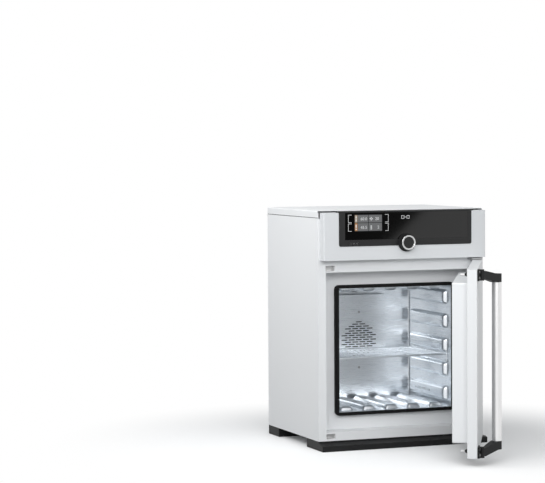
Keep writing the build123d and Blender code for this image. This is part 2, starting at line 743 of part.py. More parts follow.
def rear_panel():
    """Rear sheet with holes for the exhaust, the inlet and the motor's cooling air."""
    half = CASING_INNER_X
    panel = block(-half, half, REAR_PANEL_Y, CABINET_DEPTH, RAIL_HEIGHT + CASING_SHEET, SKIRT_BOTTOM_Z - CASING_SEAM)
    panel -= bar_y(0, EXHAUST_Z, REAR_PANEL_Y, CABINET_DEPTH, exhaust_duct_radius() + CASING_SEAM)
    fit = CASING_SEAM
    panel -= block(
        INLET_X - INLET_WIDTH / 2 - fit, INLET_X + INLET_WIDTH / 2 + fit, REAR_PANEL_Y, CABINET_DEPTH,
        INLET_Z - INLET_HEIGHT / 2 - fit, INLET_Z + INLET_HEIGHT / 2 + fit,
    )
    vent_length = MOTOR_FLANGE_HALF
    for side in BOTH_SIDES:
        for index in range(-3, 4):
            x = side * (MOTOR_FLANGE_HALF + vent_length)
            z = FAN_Z + index * 12
            panel -= block(x - vent_length / 2, x + vent_length / 2, REAR_PANEL_Y, CABINET_DEPTH, z - 2, z + 2)
    return panel


def casing_screws():
    """Flat screw heads on the rear panel's border."""
    x = CASING_INNER_X - 3 * SCREW_RADIUS
    places = [(side * x, z) for side in BOTH_SIDES for z in (60, 280, 500, 720)]
    return [bar_y(px, pz, CABINET_DEPTH, CABINET_DEPTH + SCREW_HEAD, SCREW_RADIUS) for px, pz in places]


def latch_heights():
    return [FRONT_MID_Z - LATCH_OFFSET_Z, FRONT_MID_Z + LATCH_OFFSET_Z]


def front_frame():
    """One folded frame: face, tapered recess for the door plug, and the seat of the chamber."""
    face = block(-HALF_WIDTH, HALF_WIDTH, 0, CASING_SHEET, RAIL_HEIGHT, FRAME_TOP_Z)
    w = RECESS_HALF_WIDTH
    h = RECESS_HALF_HEIGHT
    sheet = CASING_SHEET
    back = RECESS_DEPTH + sheet
    box = block(-w - sheet, w + sheet, 0, back, FRONT_MID_Z - h - sheet, FRONT_MID_Z + h + sheet)
    frame = face + box
    frame -= block(-w, w, 0, RECESS_DEPTH, FRONT_MID_Z - h, FRONT_MID_Z + h)
    mouth = LINER_OUTER + LINER_CLEARANCE
    frame -= block(-mouth, mouth, RECESS_DEPTH, back, FRONT_MID_Z - mouth, FRONT_MID_Z + mouth)
    for z in latch_heights():
        frame -= block(STRIKE_LEFT_X, STRIKE_RIGHT_X, 0, sheet, z - STRIKE_HEIGHT / 2, z + STRIKE_HEIGHT / 2)
    return frame


def latch_strikes():
    """Moulded pockets that hold the latch pins: a ramped left end with a hooked lip."""
    strikes = []
    y0 = CASING_SHEET
    y1 = STRIKE_DEPTH
    pocket = [
        (STRIKE_LEFT_X, y0), (STRIKE_LIP_X, STRIKE_LIP_DEPTH), (STRIKE_LIP_X - STRIKE_UNDERCUT, y1),
        (STRIKE_RIGHT_X, y1), (STRIKE_RIGHT_X, y0),
    ]
    for z in latch_heights():
        half = STRIKE_HEIGHT / 2
        left = STRIKE_LIP_X - STRIKE_UNDERCUT - STRIKE_WALL
        body = block(
            left, STRIKE_RIGHT_X + STRIKE_WALL, y0, y1 + STRIKE_WALL, z - half - STRIKE_WALL, z + half + STRIKE_WALL
        )
        strikes.append(body - prism_z(pocket, z - half, z + half))
    return strikes


def door_gasket():
    """Square rubber ring round the chamber mouth with a rounded bead at the front."""
    inner = LINER_OUTER + LINER_CLEARANCE
    outer = inner + GASKET_WIDTH
    plane = Plane(origin=(0, GASKET_FRONT_Y, FRONT_MID_Z), x_dir=(1, 0, 0), z_dir=(0, -1, 0))
    section = RectangleRounded(2 * outer, 2 * outer, GASKET_CORNER_RADIUS) - Rectangle(2 * inner, 2 * inner)
    ring = extrude(plane * section, -(RECESS_DEPTH - GASKET_FRONT_Y))
    return fillet(ring.faces().sort_by(Axis.Y)[0].outer_wire().edges(), GASKET_BEAD_RADIUS)


def hinge_brackets():
    """Upper bracket on the frame's face, and a stepped lower one under the base tray."""
    x0, x1 = hinge_plate_span()
    radius = DOOR_THICKNESS / 2
    brackets = []
    upper_low = DOOR_HIGH_Z + HINGE_PLATE_GAP
    for low in (lower_plate_top() - HINGE_PLATE, upper_low):
        plate = block(x0, x1, HINGE_Y, 0, low, low + HINGE_PLATE)
        plate += block(x0, HINGE_X, HINGE_Y - radius, HINGE_Y, low, low + HINGE_PLATE)
        plate += post(HINGE_X, HINGE_Y, low, low + HINGE_PLATE, radius)
        brackets.append(plate)
    lower_low = lower_plate_top() - HINGE_PLATE
    brackets[0] += block(x0, x1, 0, HINGE_LOWER_REACH, lower_low, lower_low + HINGE_PLATE)
    brackets[0] += block(x0, x1, CASING_SHEET, HINGE_LOWER_REACH, lower_low, RAIL_HEIGHT)
    return [plate - post(HINGE_X, HINGE_Y, 0, CABINET_HEIGHT, HINGE_PIN_RADIUS) for plate in brackets]


def hinge_pins():
    """Pins fixed in the brackets, reaching into the bushes of the door."""
    low = lower_plate_top() - HINGE_PLATE
    high = DOOR_HIGH_Z + HINGE_PLATE_GAP + HINGE_PLATE
    return [
        post(HINGE_X, HINGE_Y, low, low + HINGE_PIN_LENGTH, HINGE_PIN_RADIUS),
        post(HINGE_X, HINGE_Y, high - HINGE_PIN_LENGTH, high, HINGE_PIN_RADIUS),
    ]


def door_buffer():
    """Small rubber stud on the frame above the door."""
    return bar_y(BUFFER_X, BUFFER_Z, -BUFFER_PROUD, 0, BUFFER_RADIUS)


def electronics_deck():
    """Sheet that closes the chamber's insulation off from the electronics above."""
    half = CASING_INNER_X
    deck = block(-half, half, CASING_SHEET, REAR_PANEL_Y, DECK_Z, DECK_TOP_Z)
    for side in BOTH_SIDES:
        x0, x1 = sorted((side * half, side * (half - CASING_SHEET)))
        deck += block(x0, x1, CASING_SHEET, REAR_PANEL_Y, DECK_Z, DECK_Z + TRAY_FLANGE)
    return deck


def power_board():
    """Board with its transformer and relays on the electronics deck."""
    y0 = CABINET_DEPTH / 2
    x0 = -POWER_BOARD_LENGTH / 2
    lift = 6.0
    low = DECK_TOP_Z + lift
    board = block(x0, -x0, y0, y0 + POWER_BOARD_WIDTH, low, low + BOARD_SHEET)
    inset = 10.0
    for x in (x0 + inset, -x0 - inset):
        for y in (y0 + inset, y0 + POWER_BOARD_WIDTH - inset):
            board += post(x, y, DECK_TOP_Z, low, BOARD_POST_RADIUS)
    top = low + BOARD_SHEET
    board += block(x0 + 20, x0 + 70, y0 + 25, y0 + 75, top, top + 38)
    board += block(20, 44, y0 + 20, y0 + 50, top, top + 20)
    board += block(50, 74, y0 + 20, y0 + 50, top, top + 20)
    return board


def mains_inlet():
    """Socket block in the rear panel with its recessed opening."""
    w = INLET_WIDTH / 2
    h = INLET_HEIGHT / 2
    y0 = CABINET_DEPTH - INLET_DEPTH
    y1 = CABINET_DEPTH + INLET_STAND_OUT
    body = block(INLET_X - w, INLET_X + w, y0, y1, INLET_Z - h, INLET_Z + h)
    flange = 4.0
    body += block(
        INLET_X - w - flange, INLET_X + w + flange, CABINET_DEPTH, y1, INLET_Z - h - flange, INLET_Z + h + flange
    )
    wall = 6.0
    return body - block(
        INLET_X - w + wall, INLET_X + w - wall, y0 + wall, y1, INLET_Z - h + wall, INLET_Z + h - wall
    )


# Fascia and controls

def fascia():
    """Box-shaped front cover of the control compartment, open at the back."""
    w = FASCIA_HALF_WIDTH
    shell = block(-w, w, FASCIA_FRONT_Y, 0, FASCIA_BOTTOM_Z, FASCIA_TOP_Z)
    fronts = [edge for edge in shell.edges().filter_by(Axis.Z) if edge.center().Y < -1]
    shell = fillet(fronts, FASCIA_EDGE_RADIUS)
    t = FASCIA_WALL
    shell -= block(-w + t, w - t, FASCIA_FRONT_Y + t, 0, FASCIA_BOTTOM_Z + t, FASCIA_TOP_Z - t)
    for x in (-CONTROL_BOARD_HALF_WIDTH + 8, CONTROL_BOARD_HALF_WIDTH - 8):
        for z in (CONTROL_BOARD_BOTTOM_Z + 8, CONTROL_BOARD_TOP_Z - 8):
            shell += bar_y(x, z, FASCIA_FRONT_Y + t, CONTROL_BOARD_Y, BOARD_POST_RADIUS)
    shell -= bar_y(0, KNOB_Z, FASCIA_FRONT_Y, FASCIA_FRONT_Y + t, ENCODER_RADIUS + 1)
    shell -= button_block(BUTTON_CLEARANCE, FASCIA_FRONT_Y, FASCIA_FRONT_Y + t)
    return shell


def button_block(grow, y0, y1):
    """Room of the main switch button, grown by a clearance."""
    w = BUTTON_WIDTH / 2 + grow
    h = BUTTON_HEIGHT / 2 + grow
    return block(BUTTON_X - w, BUTTON_X + w, y0, y1, BUTTON_Z - h, BUTTON_Z + h)


def glass_top_z():
    return FASCIA_TOP_Z - BEZEL_LIP_PROUD


def panel_bezel():
    """Black frame on the fascia with a lip that wraps over the fascia's top edge."""
    w = BEZEL_HALF_WIDTH
    front = BEZEL_FRONT_Y
    plate = block(-w, w, front, FASCIA_FRONT_Y, BEZEL_BOTTOM_Z, FASCIA_TOP_Z)
    lower = [edge for edge in plate.edges().filter_by(Axis.Y) if edge.center().Z < FASCIA_BOTTOM_Z + 60]
    plate = fillet(lower, BEZEL_CORNER_RADIUS)
    lip_front = front - BEZEL_LIP_PROUD
    lip = block(
        -BEZEL_LIP_HALF_WIDTH, BEZEL_LIP_HALF_WIDTH, lip_front, lip_front + BEZEL_LIP_DEPTH,
        FASCIA_TOP_Z, FASCIA_TOP_Z + BEZEL_LIP_HEIGHT,
    )
    long_edges = [e for e in lip.edges().filter_by(Axis.X) if e.center().Y < lip_front + 1]
    lip = fillet(long_edges, BEZEL_LIP_HEIGHT / 3)
    bezel = plate + lip
    seat = front + GLASS_THICKNESS + GLASS_RECESS
    bezel -= block(GLASS_LEFT_X, GLASS_RIGHT_X, front, seat, GLASS_BOTTOM_Z, glass_top_z())
    bezel -= bar_y(0, KNOB_Z, front, FASCIA_FRONT_Y, ENCODER_RADIUS - 2)
    return bezel - button_block(BUTTON_CLEARANCE, front, FASCIA_FRONT_Y)


def panel_glass():
    """Dark cover glass let into the bezel, cut out round the display and the knob."""
    front = BEZEL_FRONT_Y + GLASS_RECESS
    back = front + GLASS_THICKNESS
    fit = PANEL_FIT
    glass = block(GLASS_LEFT_X + fit, GLASS_RIGHT_X - fit, front, back, GLASS_BOTTOM_Z + fit, glass_top_z() - fit)
    return glass - block(
        SCREEN_LEFT_X - fit, SCREEN_RIGHT_X + fit, front, back, SCREEN_BOTTOM_Z - fit, SCREEN_TOP_Z + fit
    )


def display_screen():
    """Display window set into the cover glass."""
    front = BEZEL_FRONT_Y + GLASS_RECESS + SCREEN_RECESS
    back = BEZEL_FRONT_Y + GLASS_RECESS + GLASS_THICKNESS
    return block(SCREEN_LEFT_X, SCREEN_RIGHT_X, front, back, SCREEN_BOTTOM_Z, SCREEN_TOP_Z)


def control_board():
    """Circuit board on the posts inside the fascia."""
    w = CONTROL_BOARD_HALF_WIDTH
    y = CONTROL_BOARD_Y
    return block(-w, w, y, y + BOARD_SHEET, CONTROL_BOARD_BOTTOM_Z, CONTROL_BOARD_TOP_Z)


def plunger_front_y():
    return CONTROL_BOARD_Y - ENCODER_LENGTH / 2


def encoder_housing():
    """Rotary encoder on the board: bearing for the shaft and room for the push contact."""
    y0 = CONTROL_BOARD_Y - ENCODER_LENGTH
    body = bar_y(0, KNOB_Z, y0, CONTROL_BOARD_Y, ENCODER_RADIUS)
    body -= bar_y(0, KNOB_Z, y0, plunger_front_y(), ENCODER_SHAFT_RADIUS + ENCODER_FIT)
    room_front = plunger_front_y() - BUTTON_CLEARANCE
    room_back = plunger_front_y() + PLUNGER_LENGTH + KNOB_PUSH + BUTTON_CLEARANCE
    return body - bar_y(0, KNOB_Z, room_front, room_back, PLUNGER_RADIUS + BUTTON_CLEARANCE)


def encoder_plunger():
    """Push contact round the shaft's end; it moves in and out but doesn't turn."""
    y0 = plunger_front_y()
    ring = bar_y(0, KNOB_Z, y0, y0 + PLUNGER_LENGTH, PLUNGER_RADIUS)
    return ring - bar_y(0, KNOB_Z, y0, y0 + PLUNGER_LENGTH, ENCODER_SHAFT_RADIUS + ENCODER_FIT)


def encoder_shaft():
    end = plunger_front_y() + PLUNGER_LENGTH
    return bar_y(0, KNOB_Z, KNOB_FRONT_Y + KNOB_DEPTH / 3, end, ENCODER_SHAFT_RADIUS)


def power_switch_housing():
    """Switch body on the board, with a pocket that guides the button."""
    front = FASCIA_FRONT_Y + FASCIA_WALL + BUTTON_CLEARANCE
    grow = BUTTON_CLEARANCE + FASCIA_WALL
    body = button_block(grow, front, CONTROL_BOARD_Y)
    pocket_end = BEZEL_FRONT_Y + BUTTON_LENGTH + BUTTON_PUSH + BUTTON_CLEARANCE
    return body - button_block(BUTTON_CLEARANCE, front, pocket_end)


def power_button():
    """Flush main switch button in the panel's lower border."""
    button = button_block(0, BEZEL_FRONT_Y, BEZEL_FRONT_Y + BUTTON_LENGTH)
    return fillet(button.edges().filter_by(Axis.Y), BUTTON_HEIGHT / 4)


def knob_body():
    """Turned knob with a flared skirt, recessed at the front for ring and cap."""
    depth = KNOB_DEPTH
    with_ring = KNOB_RING_OUTER + 0.4
    points = [
        (0, 0), (KNOB_SKIRT_RADIUS, 0), (KNOB_SKIRT_RADIUS, 2.5), (KNOB_SKIRT_RADIUS - 1.5, 5.0),
        (KNOB_NECK_RADIUS + 1.6, 9.5), (KNOB_NECK_RADIUS + 0.4, 14.0), (with_ring, depth), (0, depth),
    ]
    plane = Plane(origin=(0, KNOB_REAR_Y, KNOB_Z), x_dir=(1, 0, 0), z_dir=(0, 0, 1))
    section = plane * make_face(Polyline([(x, -y) for x, y in points], close=True))
    body = revolve(section, Axis((0, KNOB_REAR_Y, KNOB_Z), (0, 1, 0)))
    groove_end = KNOB_FRONT_Y + 2
    body -= bar_y(0, KNOB_Z, KNOB_FRONT_Y, groove_end, KNOB_RING_OUTER)
    body -= bar_y(0, KNOB_Z, KNOB_REAR_Y - 8, KNOB_REAR_Y, KNOB_NECK_RADIUS - 3)
    body += bar_y(0, KNOB_Z, KNOB_REAR_Y - 8, KNOB_REAR_Y, 2 * ENCODER_SHAFT_RADIUS)
    shaft_front = KNOB_FRONT_Y + KNOB_DEPTH / 3
    return body - bar_y(0, KNOB_Z, shaft_front, KNOB_REAR_Y, ENCODER_SHAFT_RADIUS)


def knob_ring():
    """Bright ring let into the knob's front."""
    y0 = KNOB_FRONT_Y - KNOB_RING_PROUD
    ring = bar_y(0, KNOB_Z, y0, KNOB_FRONT_Y + 2, KNOB_RING_OUTER)
    ring -= bar_y(0, KNOB_Z, y0, KNOB_FRONT_Y + 2, KNOB_RING_INNER)
    outer_edge = [e for e in ring.edges() if e.center().Y < y0 + 0.1]
    return fillet(outer_edge, KNOB_RING_PROUD)


def knob_cap():
    """Dark disc inside the ring."""
    return bar_y(0, KNOB_Z, KNOB_FRONT_Y + KNOB_CAP_RECESS, KNOB_FRONT_Y + 2, KNOB_RING_INNER)


# Door, in its closed place

def door_section(inset):
    """Plan of the door shell: flat slab with a fully rounded hinge edge."""
    x0 = DOOR_FREE_X + inset
    half = DOOR_THICKNESS / 2 - inset
    slab = Pos((x0 + HINGE_X) / 2, HINGE_Y) * Rectangle(HINGE_X - x0, 2 * half)
    slab = fillet(slab.vertices().group_by(Axis.X)[0], max(DOOR_EDGE_RADIUS - inset, DOOR_SHEET))
    return slab + Pos(HINGE_X, HINGE_Y) * Circle(half)


def door_slab(inset, z_inset):
    return extrude(Pos(0, 0, DOOR_LOW_Z + z_inset) * door_section(inset), 2 * (DOOR_HALF_HEIGHT - z_inset))


def latch_slots():
    """Cuts that let the handle's cranks and cones swing through the door."""
    swing = radians(HANDLE_SWING)
    gap = LATCH_SLOT_CLEARANCE
    reach = DOOR_BACK_Y - HANDLE_AXIS_Y
    offset = LATCH_PIN_X - HANDLE_AXIS_X
    swung_x = HANDLE_AXIS_X + offset * cos(swing) - reach * sin(swing)
    half = LATCH_CONE_RADIUS + gap
    crank_half = LATCH_CRANK_HEIGHT / 2 + gap
    cuts = []
    for z in latch_heights():
        cuts.append(block(swung_x - half, LATCH_PIN_X + half, DOOR_BACK_Y - DOOR_SHEET, DOOR_BACK_Y, z - half, z + half))
        cuts.append(block(*crank_slot_span(), DOOR_FRONT_Y - CORNER_PLATE, DOOR_FRONT_Y + DOOR_SHEET,
                          z - crank_half, z + crank_half))
    return cuts


def crank_slot_span():
    """Left and right ends of the slot that the crank passes on the outer face."""
    half = LATCH_CRANK_WIDTH / 2
    run = DOOR_BACK_Y - LATCH_ROOT_DEPTH - HANDLE_AXIS_Y
    lean = (LATCH_PIN_X - HANDLE_AXIS_X) / run
    depth = DOOR_FRONT_Y + DOOR_SHEET - HANDLE_AXIS_Y
    start = DOOR_FRONT_Y - CORNER_PLATE - HANDLE_AXIS_Y
    swing = radians(HANDLE_SWING)
    right = HANDLE_AXIS_X + lean * depth + 1.2 * half + LATCH_SLOT_CLEARANCE
    left = HANDLE_AXIS_X + lean * start * cos(swing) - start * sin(swing) - 1.2 * half - LATCH_SLOT_CLEARANCE
    return left, right


def door_shell():
    """Outer door pan in sheet, open towards the plug and slotted for the latches."""
    shell = door_slab(0, 0) - door_slab(DOOR_SHEET, DOOR_SHEET)
    margin = PLUG_WINDOW_MARGIN
    shell -= block(
        PLUG_FREE_X + margin, PLUG_HINGE_X - margin, DOOR_BACK_Y - DOOR_SHEET, DOOR_BACK_Y,
        FRONT_MID_Z - PLUG_HALF_HEIGHT + margin, FRONT_MID_Z + PLUG_HALF_HEIGHT - margin,
    )
    for cut in latch_slots():
        shell -= cut
    shell -= post(HINGE_X, HINGE_Y, DOOR_LOW_Z, DOOR_HIGH_Z, HINGE_BUSH_RADIUS)
    return shell


def door_plug_panel():
    """Inner pan of the door, the plug that enters the stepped recess."""
    y0 = DOOR_BACK_Y
    y1 = PLUG_FACE_Y
    low = FRONT_MID_Z - PLUG_HALF_HEIGHT
    high = FRONT_MID_Z + PLUG_HALF_HEIGHT
    pan = block(PLUG_FREE_X, PLUG_HINGE_X, y0, y1, low, high)
    pan = fillet(pan.edges().filter_by(Axis.Y), PLUG_EDGE_RADIUS)
    pan = fillet(pan.faces().sort_by(Axis.Y)[-1].edges(), PLUG_EDGE_RADIUS - PLUG_SHEET)
    t = PLUG_SHEET
    hollow = block(PLUG_FREE_X + t, PLUG_HINGE_X - t, y0, y1 - t, low + t, high - t)
    hollow = fillet(hollow.edges().filter_by(Axis.Y), PLUG_EDGE_RADIUS - t)
    return pan - hollow


def door_insulation():
    """Mineral wool that fills the door behind the plug."""
    margin = PLUG_WINDOW_MARGIN + 1
    gap = INSULATION_GAP
    return block(
        PLUG_FREE_X + margin, PLUG_HINGE_X - margin,
        DOOR_FRONT_Y + DOOR_SHEET + gap, PLUG_FACE_Y - PLUG_SHEET - gap,
        FRONT_MID_Z - PLUG_HALF_HEIGHT + margin, FRONT_MID_Z + PLUG_HALF_HEIGHT - margin,
    )


def door_hinge_bushes():
    """Bushes in the door's top and bottom corners that turn on the hinge pins."""
    bore = HINGE_PIN_RADIUS + HINGE_PIN_FIT
    bushes = []
    for low in (DOOR_LOW_Z, DOOR_HIGH_Z - HINGE_BUSH_LENGTH):
        bush = post(HINGE_X, HINGE_Y, low, low + HINGE_BUSH_LENGTH, HINGE_BUSH_RADIUS)
        bushes.append(bush - post(HINGE_X, HINGE_Y, low, low + HINGE_BUSH_LENGTH, bore))
    return bushes


# Handle, in its closed and pulled place

def handle_corner_plate():
    """Upper corner plate with a pointed inner end and the two lugs of the knuckle."""
    x0 = DOOR_FREE_X
    y0 = DOOR_FRONT_Y - CORNER_PLATE
    top = DOOR_HIGH_Z
    low = top - CORNER_PLATE_HEIGHT
    tip = x0 + CORNER_PLATE_LENGTH
    outline = [(x0, low), (x0, top), (tip - CORNER_PLATE_HEIGHT, top), (tip, (low + top) / 2),
               (tip - CORNER_PLATE_HEIGHT, low)]
    plate = prism_y(outline, y0, DOOR_FRONT_Y)
    for lug_low in (FRONT_MID_Z + KNUCKLE_LOW - KNUCKLE_LUG_GAP - KNUCKLE_LUG, FRONT_MID_Z + KNUCKLE_HIGH + KNUCKLE_LUG_GAP):
        lug = post(HANDLE_AXIS_X, HANDLE_AXIS_Y, lug_low, lug_low + KNUCKLE_LUG, KNUCKLE_RADIUS)
        lug += block(
            HANDLE_AXIS_X - KNUCKLE_RADIUS, HANDLE_AXIS_X + KNUCKLE_RADIUS, HANDLE_AXIS_Y, y0,
            lug_low, lug_low + KNUCKLE_LUG,
        )
        plate += lug
    plate -= post(HANDLE_AXIS_X, HANDLE_AXIS_Y, low, top + KNUCKLE_LUG, PIVOT_PIN_RADIUS)
    left, right = crank_slot_span()
    half = LATCH_CRANK_HEIGHT / 2 + LATCH_SLOT_CLEARANCE
    z = FRONT_MID_Z + LATCH_OFFSET_Z
    return plate - block(left, right, y0, DOOR_FRONT_Y, z - half, z + half)


def handle_pivot_pin():
    low = FRONT_MID_Z + KNUCKLE_LOW - KNUCKLE_LUG_GAP - KNUCKLE_LUG
    high = FRONT_MID_Z + KNUCKLE_HIGH + KNUCKLE_LUG_GAP + KNUCKLE_LUG
    return post(HANDLE_AXIS_X, HANDLE_AXIS_Y, low, high, PIVOT_PIN_RADIUS)


def handle_bar():
    """Round grip bar between the two arms."""
    low = FRONT_MID_Z - HANDLE_BAR_HALF_LENGTH
    high = FRONT_MID_Z + HANDLE_BAR_HALF_LENGTH
    return post(HANDLE_BAR_X, HANDLE_BAR_Y, low, high, HANDLE_BAR_RADIUS)


def tangent_arm():
    """Plan of the arm: the knuckle's circle joined to the bar's by their outer tangents."""
    dx = HANDLE_BAR_X - HANDLE_AXIS_X
    dy = HANDLE_BAR_Y - HANDLE_AXIS_Y
    length = hypot(dx, dy)
    heading = degrees(atan2(dy, dx))
    lean = degrees(atan2(HANDLE_BAR_RADIUS - KNUCKLE_RADIUS, length))
    corners = []
    for centre, radius, angle in (
        ((HANDLE_AXIS_X, HANDLE_AXIS_Y), KNUCKLE_RADIUS, heading + 90 + lean),
        ((HANDLE_BAR_X, HANDLE_BAR_Y), HANDLE_BAR_RADIUS, heading + 90 + lean),
        ((HANDLE_BAR_X, HANDLE_BAR_Y), HANDLE_BAR_RADIUS, heading - 90 - lean),
        ((HANDLE_AXIS_X, HANDLE_AXIS_Y), KNUCKLE_RADIUS, heading - 90 - lean),
    ):
        x = centre[0] + radius * cos(radians(angle))
        y = centre[1] + radius * sin(radians(angle))
        corners.append((x, y))
    return corners


def handle_arm():
    """Upper arm: barrel on the pivot, slanting web, end block on the bar, crank and cone."""
    barrel_low = FRONT_MID_Z + KNUCKLE_LOW
    barrel_high = FRONT_MID_Z + KNUCKLE_HIGH
    block_low = FRONT_MID_Z + ARM_BLOCK_LOW
    block_high = FRONT_MID_Z + ARM_BLOCK_HIGH
    web = prism_z(tangent_arm(), block_low, barrel_high)
    web += post(HANDLE_BAR_X, HANDLE_BAR_Y, block_low, barrel_high, HANDLE_BAR_RADIUS)
    web += post(HANDLE_AXIS_X, HANDLE_AXIS_Y, block_low, barrel_high, KNUCKLE_RADIUS)
    dx = HANDLE_BAR_X - HANDLE_AXIS_X
    dy = HANDLE_BAR_Y - HANDLE_AXIS_Y
    reach = hypot(dx, dy)
    near = KNUCKLE_RADIUS + 2
    far = reach - HANDLE_BAR_RADIUS
    end = reach + 2 * HANDLE_BAR_RADIUS
    side_view = [
        (-2 * KNUCKLE_RADIUS, barrel_low), (near, barrel_low), (far, block_low), (end, block_low),
        (end, block_high), (far, block_high), (near, barrel_high), (-2 * KNUCKLE_RADIUS, barrel_high),
    ]
    along = Plane(origin=(HANDLE_AXIS_X, HANDLE_AXIS_Y, 0), x_dir=(dx, dy, 0), z_dir=(dy, -dx, 0))
    profile = extrude(along * Polygon(*side_view, align=None), 3 * HANDLE_BAR_RADIUS, both=True)
    arm = web & profile
    arm += latch_crank()
    return arm - post(HANDLE_AXIS_X, HANDLE_AXIS_Y, barrel_low, barrel_high, PIVOT_PIN_RADIUS + PIVOT_PIN_FIT)


def latch_crank():
    """Crank from the barrel through the door to the root of the latch pin, with its cone."""
    z = FRONT_MID_Z + LATCH_OFFSET_Z
    root_y = DOOR_BACK_Y - LATCH_ROOT_DEPTH
    dx = LATCH_PIN_X - HANDLE_AXIS_X
    dy = root_y - HANDLE_AXIS_Y
    reach = hypot(dx, dy)
    half = LATCH_CRANK_WIDTH / 2
    side_x = dy / reach * half
    side_y = -dx / reach * half
    outline = [
        (HANDLE_AXIS_X + side_x, HANDLE_AXIS_Y + side_y), (HANDLE_AXIS_X - side_x, HANDLE_AXIS_Y - side_y),
        (LATCH_PIN_X - side_x, root_y - side_y), (LATCH_PIN_X + side_x, root_y + side_y),
    ]
    crank = prism_z(outline, z - LATCH_CRANK_HEIGHT / 2, z + LATCH_CRANK_HEIGHT / 2)
    crank += bar_y(LATCH_PIN_X, z, root_y - half, DOOR_BACK_Y, LATCH_ROOT_RADIUS)
    cone_end = DOOR_BACK_Y + LATCH_CONE_LENGTH
    cone_mid = (DOOR_BACK_Y + cone_end) / 2
    cone = Rot(-90, 0, 0) * Cone(LATCH_CONE_RADIUS, LATCH_PIN_RADIUS, LATCH_CONE_LENGTH)
    crank += Pos(LATCH_PIN_X, cone_mid, z) * cone
    return crank


def latch_pin():
    """White pin standing out of the cone."""
    z = FRONT_MID_Z + LATCH_OFFSET_Z
    y0 = DOOR_BACK_Y + LATCH_CONE_LENGTH
    pin = bar_y(LATCH_PIN_X, z, y0, DOOR_BACK_Y + LATCH_PIN_REACH, LATCH_PIN_RADIUS)
    return chamfer(pin.edges().sort_by(Axis.Y)[-1], 1.0)


# Wire shelf

def shelf_side_x():
    return HALF_CHAMBER - SHELF_FRAME_RADIUS - SHELF_WALL_CLEARANCE


def shelf_side_wires():
    """Bent side wires: a runner in the gap between two pads, a riser and a front hook."""
    route = [
        (SHELF_FRONT_Y, SHELF_HOOK_Z), (SHELF_FRONT_Y, SHELF_RUNNER_Z),
        (SHELF_BACK_Y, SHELF_RUNNER_Z), (SHELF_BACK_Y, SHELF_PLANE_Z + SHELF_FRAME_RADIUS),
    ]
    wires = []
    for side in BOTH_SIDES:
        points = [(side * shelf_side_x(), y, z) for y, z in route]
        path = FilletPolyline(*points, radius=SHELF_BEND_RADIUS)
        start = Plane(origin=points[0], z_dir=(0, 0, -1))
        wires.append(sweep(start * Circle(SHELF_FRAME_RADIUS), path=path))
    return wires


def shelf_grid():
    """Wires from front to back on three cross bars that are welded to the side wires."""
    r = SHELF_FRAME_RADIUS
    side_x = shelf_side_x()
    middle_y = (SHELF_FRONT_Y + SHELF_BACK_Y) / 2
    grid_z = SHELF_PLANE_Z + SHELF_WIRE_RADIUS / 2
    span = (SHELF_WIRE_COUNT - 1) / 2 * SHELF_WIRE_PITCH + r
    grid = bar_x(middle_y, grid_z - r, -span, span, r)
    for y in (SHELF_FRONT_Y, SHELF_BACK_Y):
        cross = bar_x(y, SHELF_PLANE_Z, -side_x, side_x, r)
        for side in BOTH_SIDES:
            cross -= post(side * side_x, y, SHELF_PLANE_Z - 2 * r, SHELF_PLANE_Z + 2 * r, r)
        grid += cross
    for index in range(SHELF_WIRE_COUNT):
        x = (index - (SHELF_WIRE_COUNT - 1) / 2) * SHELF_WIRE_PITCH
        grid += bar_y(x, grid_z, SHELF_FRONT_Y, SHELF_BACK_Y, SHELF_WIRE_RADIUS)
    return grid


def door_pieces():
    plate = handle_corner_plate()
    pin = handle_pivot_pin()
    return {
        "door_shell": [door_shell()],
        "door_plug_panel": [door_plug_panel()],
        "door_insulation": [door_insulation()],
        "door_hinge_bushes": door_hinge_bushes(),
        "handle_corner_plates": [plate, mid_mirror(plate)],
        "handle_pivot_pins": [pin, mid_mirror(pin)],
    }


def handle_pieces():
    arm = handle_arm()
    pin = latch_pin()
    return {
        "handle_bar": [handle_bar()],
        "handle_arm_upper": [arm],
        "handle_arm_lower": [mid_mirror(arm)],
        "latch_pins": [pin, mid_mirror(pin)],
    }


def cabinet_pieces():
    return {
        "base_tray": [base_tray()],
        "front_foot_rail": [front_foot_rail()],
        "rear_foot_rail": [rear_foot_rail()],
        "left_side_panel": [side_panel(-1)],
        "right_side_panel": [side_panel(1)],
        "top_cover": [top_cover()],
        "rear_panel": [rear_panel()],
        "casing_screws": casing_screws(),
        "front_frame": [front_frame()],
        "latch_strikes": latch_strikes(),
        "door_gasket": [door_gasket()],
        "door_buffer": [door_buffer()],
        "hinge_brackets": hinge_brackets(),
        "hinge_pins": hinge_pins(),
        "electronics_deck": [electronics_deck()],
        "power_board": [power_board()],
        "mains_inlet": [mains_inlet()],
        "fascia": [fascia()],
        "panel_bezel": [panel_bezel()],
        "panel_glass": [panel_glass()],
        "display_screen": [display_screen()],
        "control_board": [control_board()],
        "encoder_housing": [encoder_housing()],
        "power_switch_housing": [power_switch_housing()],
    }


def chamber_pieces():
    return {
        "chamber_left_wall": [chamber_side_wall(-1)],
        "chamber_right_wall": [chamber_side_wall(1)],
        "chamber_floor": [chamber_floor()],
        "chamber_ceiling": [chamber_ceiling()],
        "chamber_rear_wall": [chamber_rear_wall()],
        "fan_baffle": [fan_baffle()],
        "baffle_screws": baffle_screws(),
        "fan_motor": [fan_motor()],
        "heater_mats": heater_mats(),
        "temperature_sensor": [temperature_sensor()],
        "insulation_sides": insulation_sides(),
        "insulation_top": [insulation_top()],
        "insulation_bottom": [insulation_bottom()],
        "insulation_rear": [insulation_rear()],
        "exhaust_pipe": [exhaust_pipe()],
    }


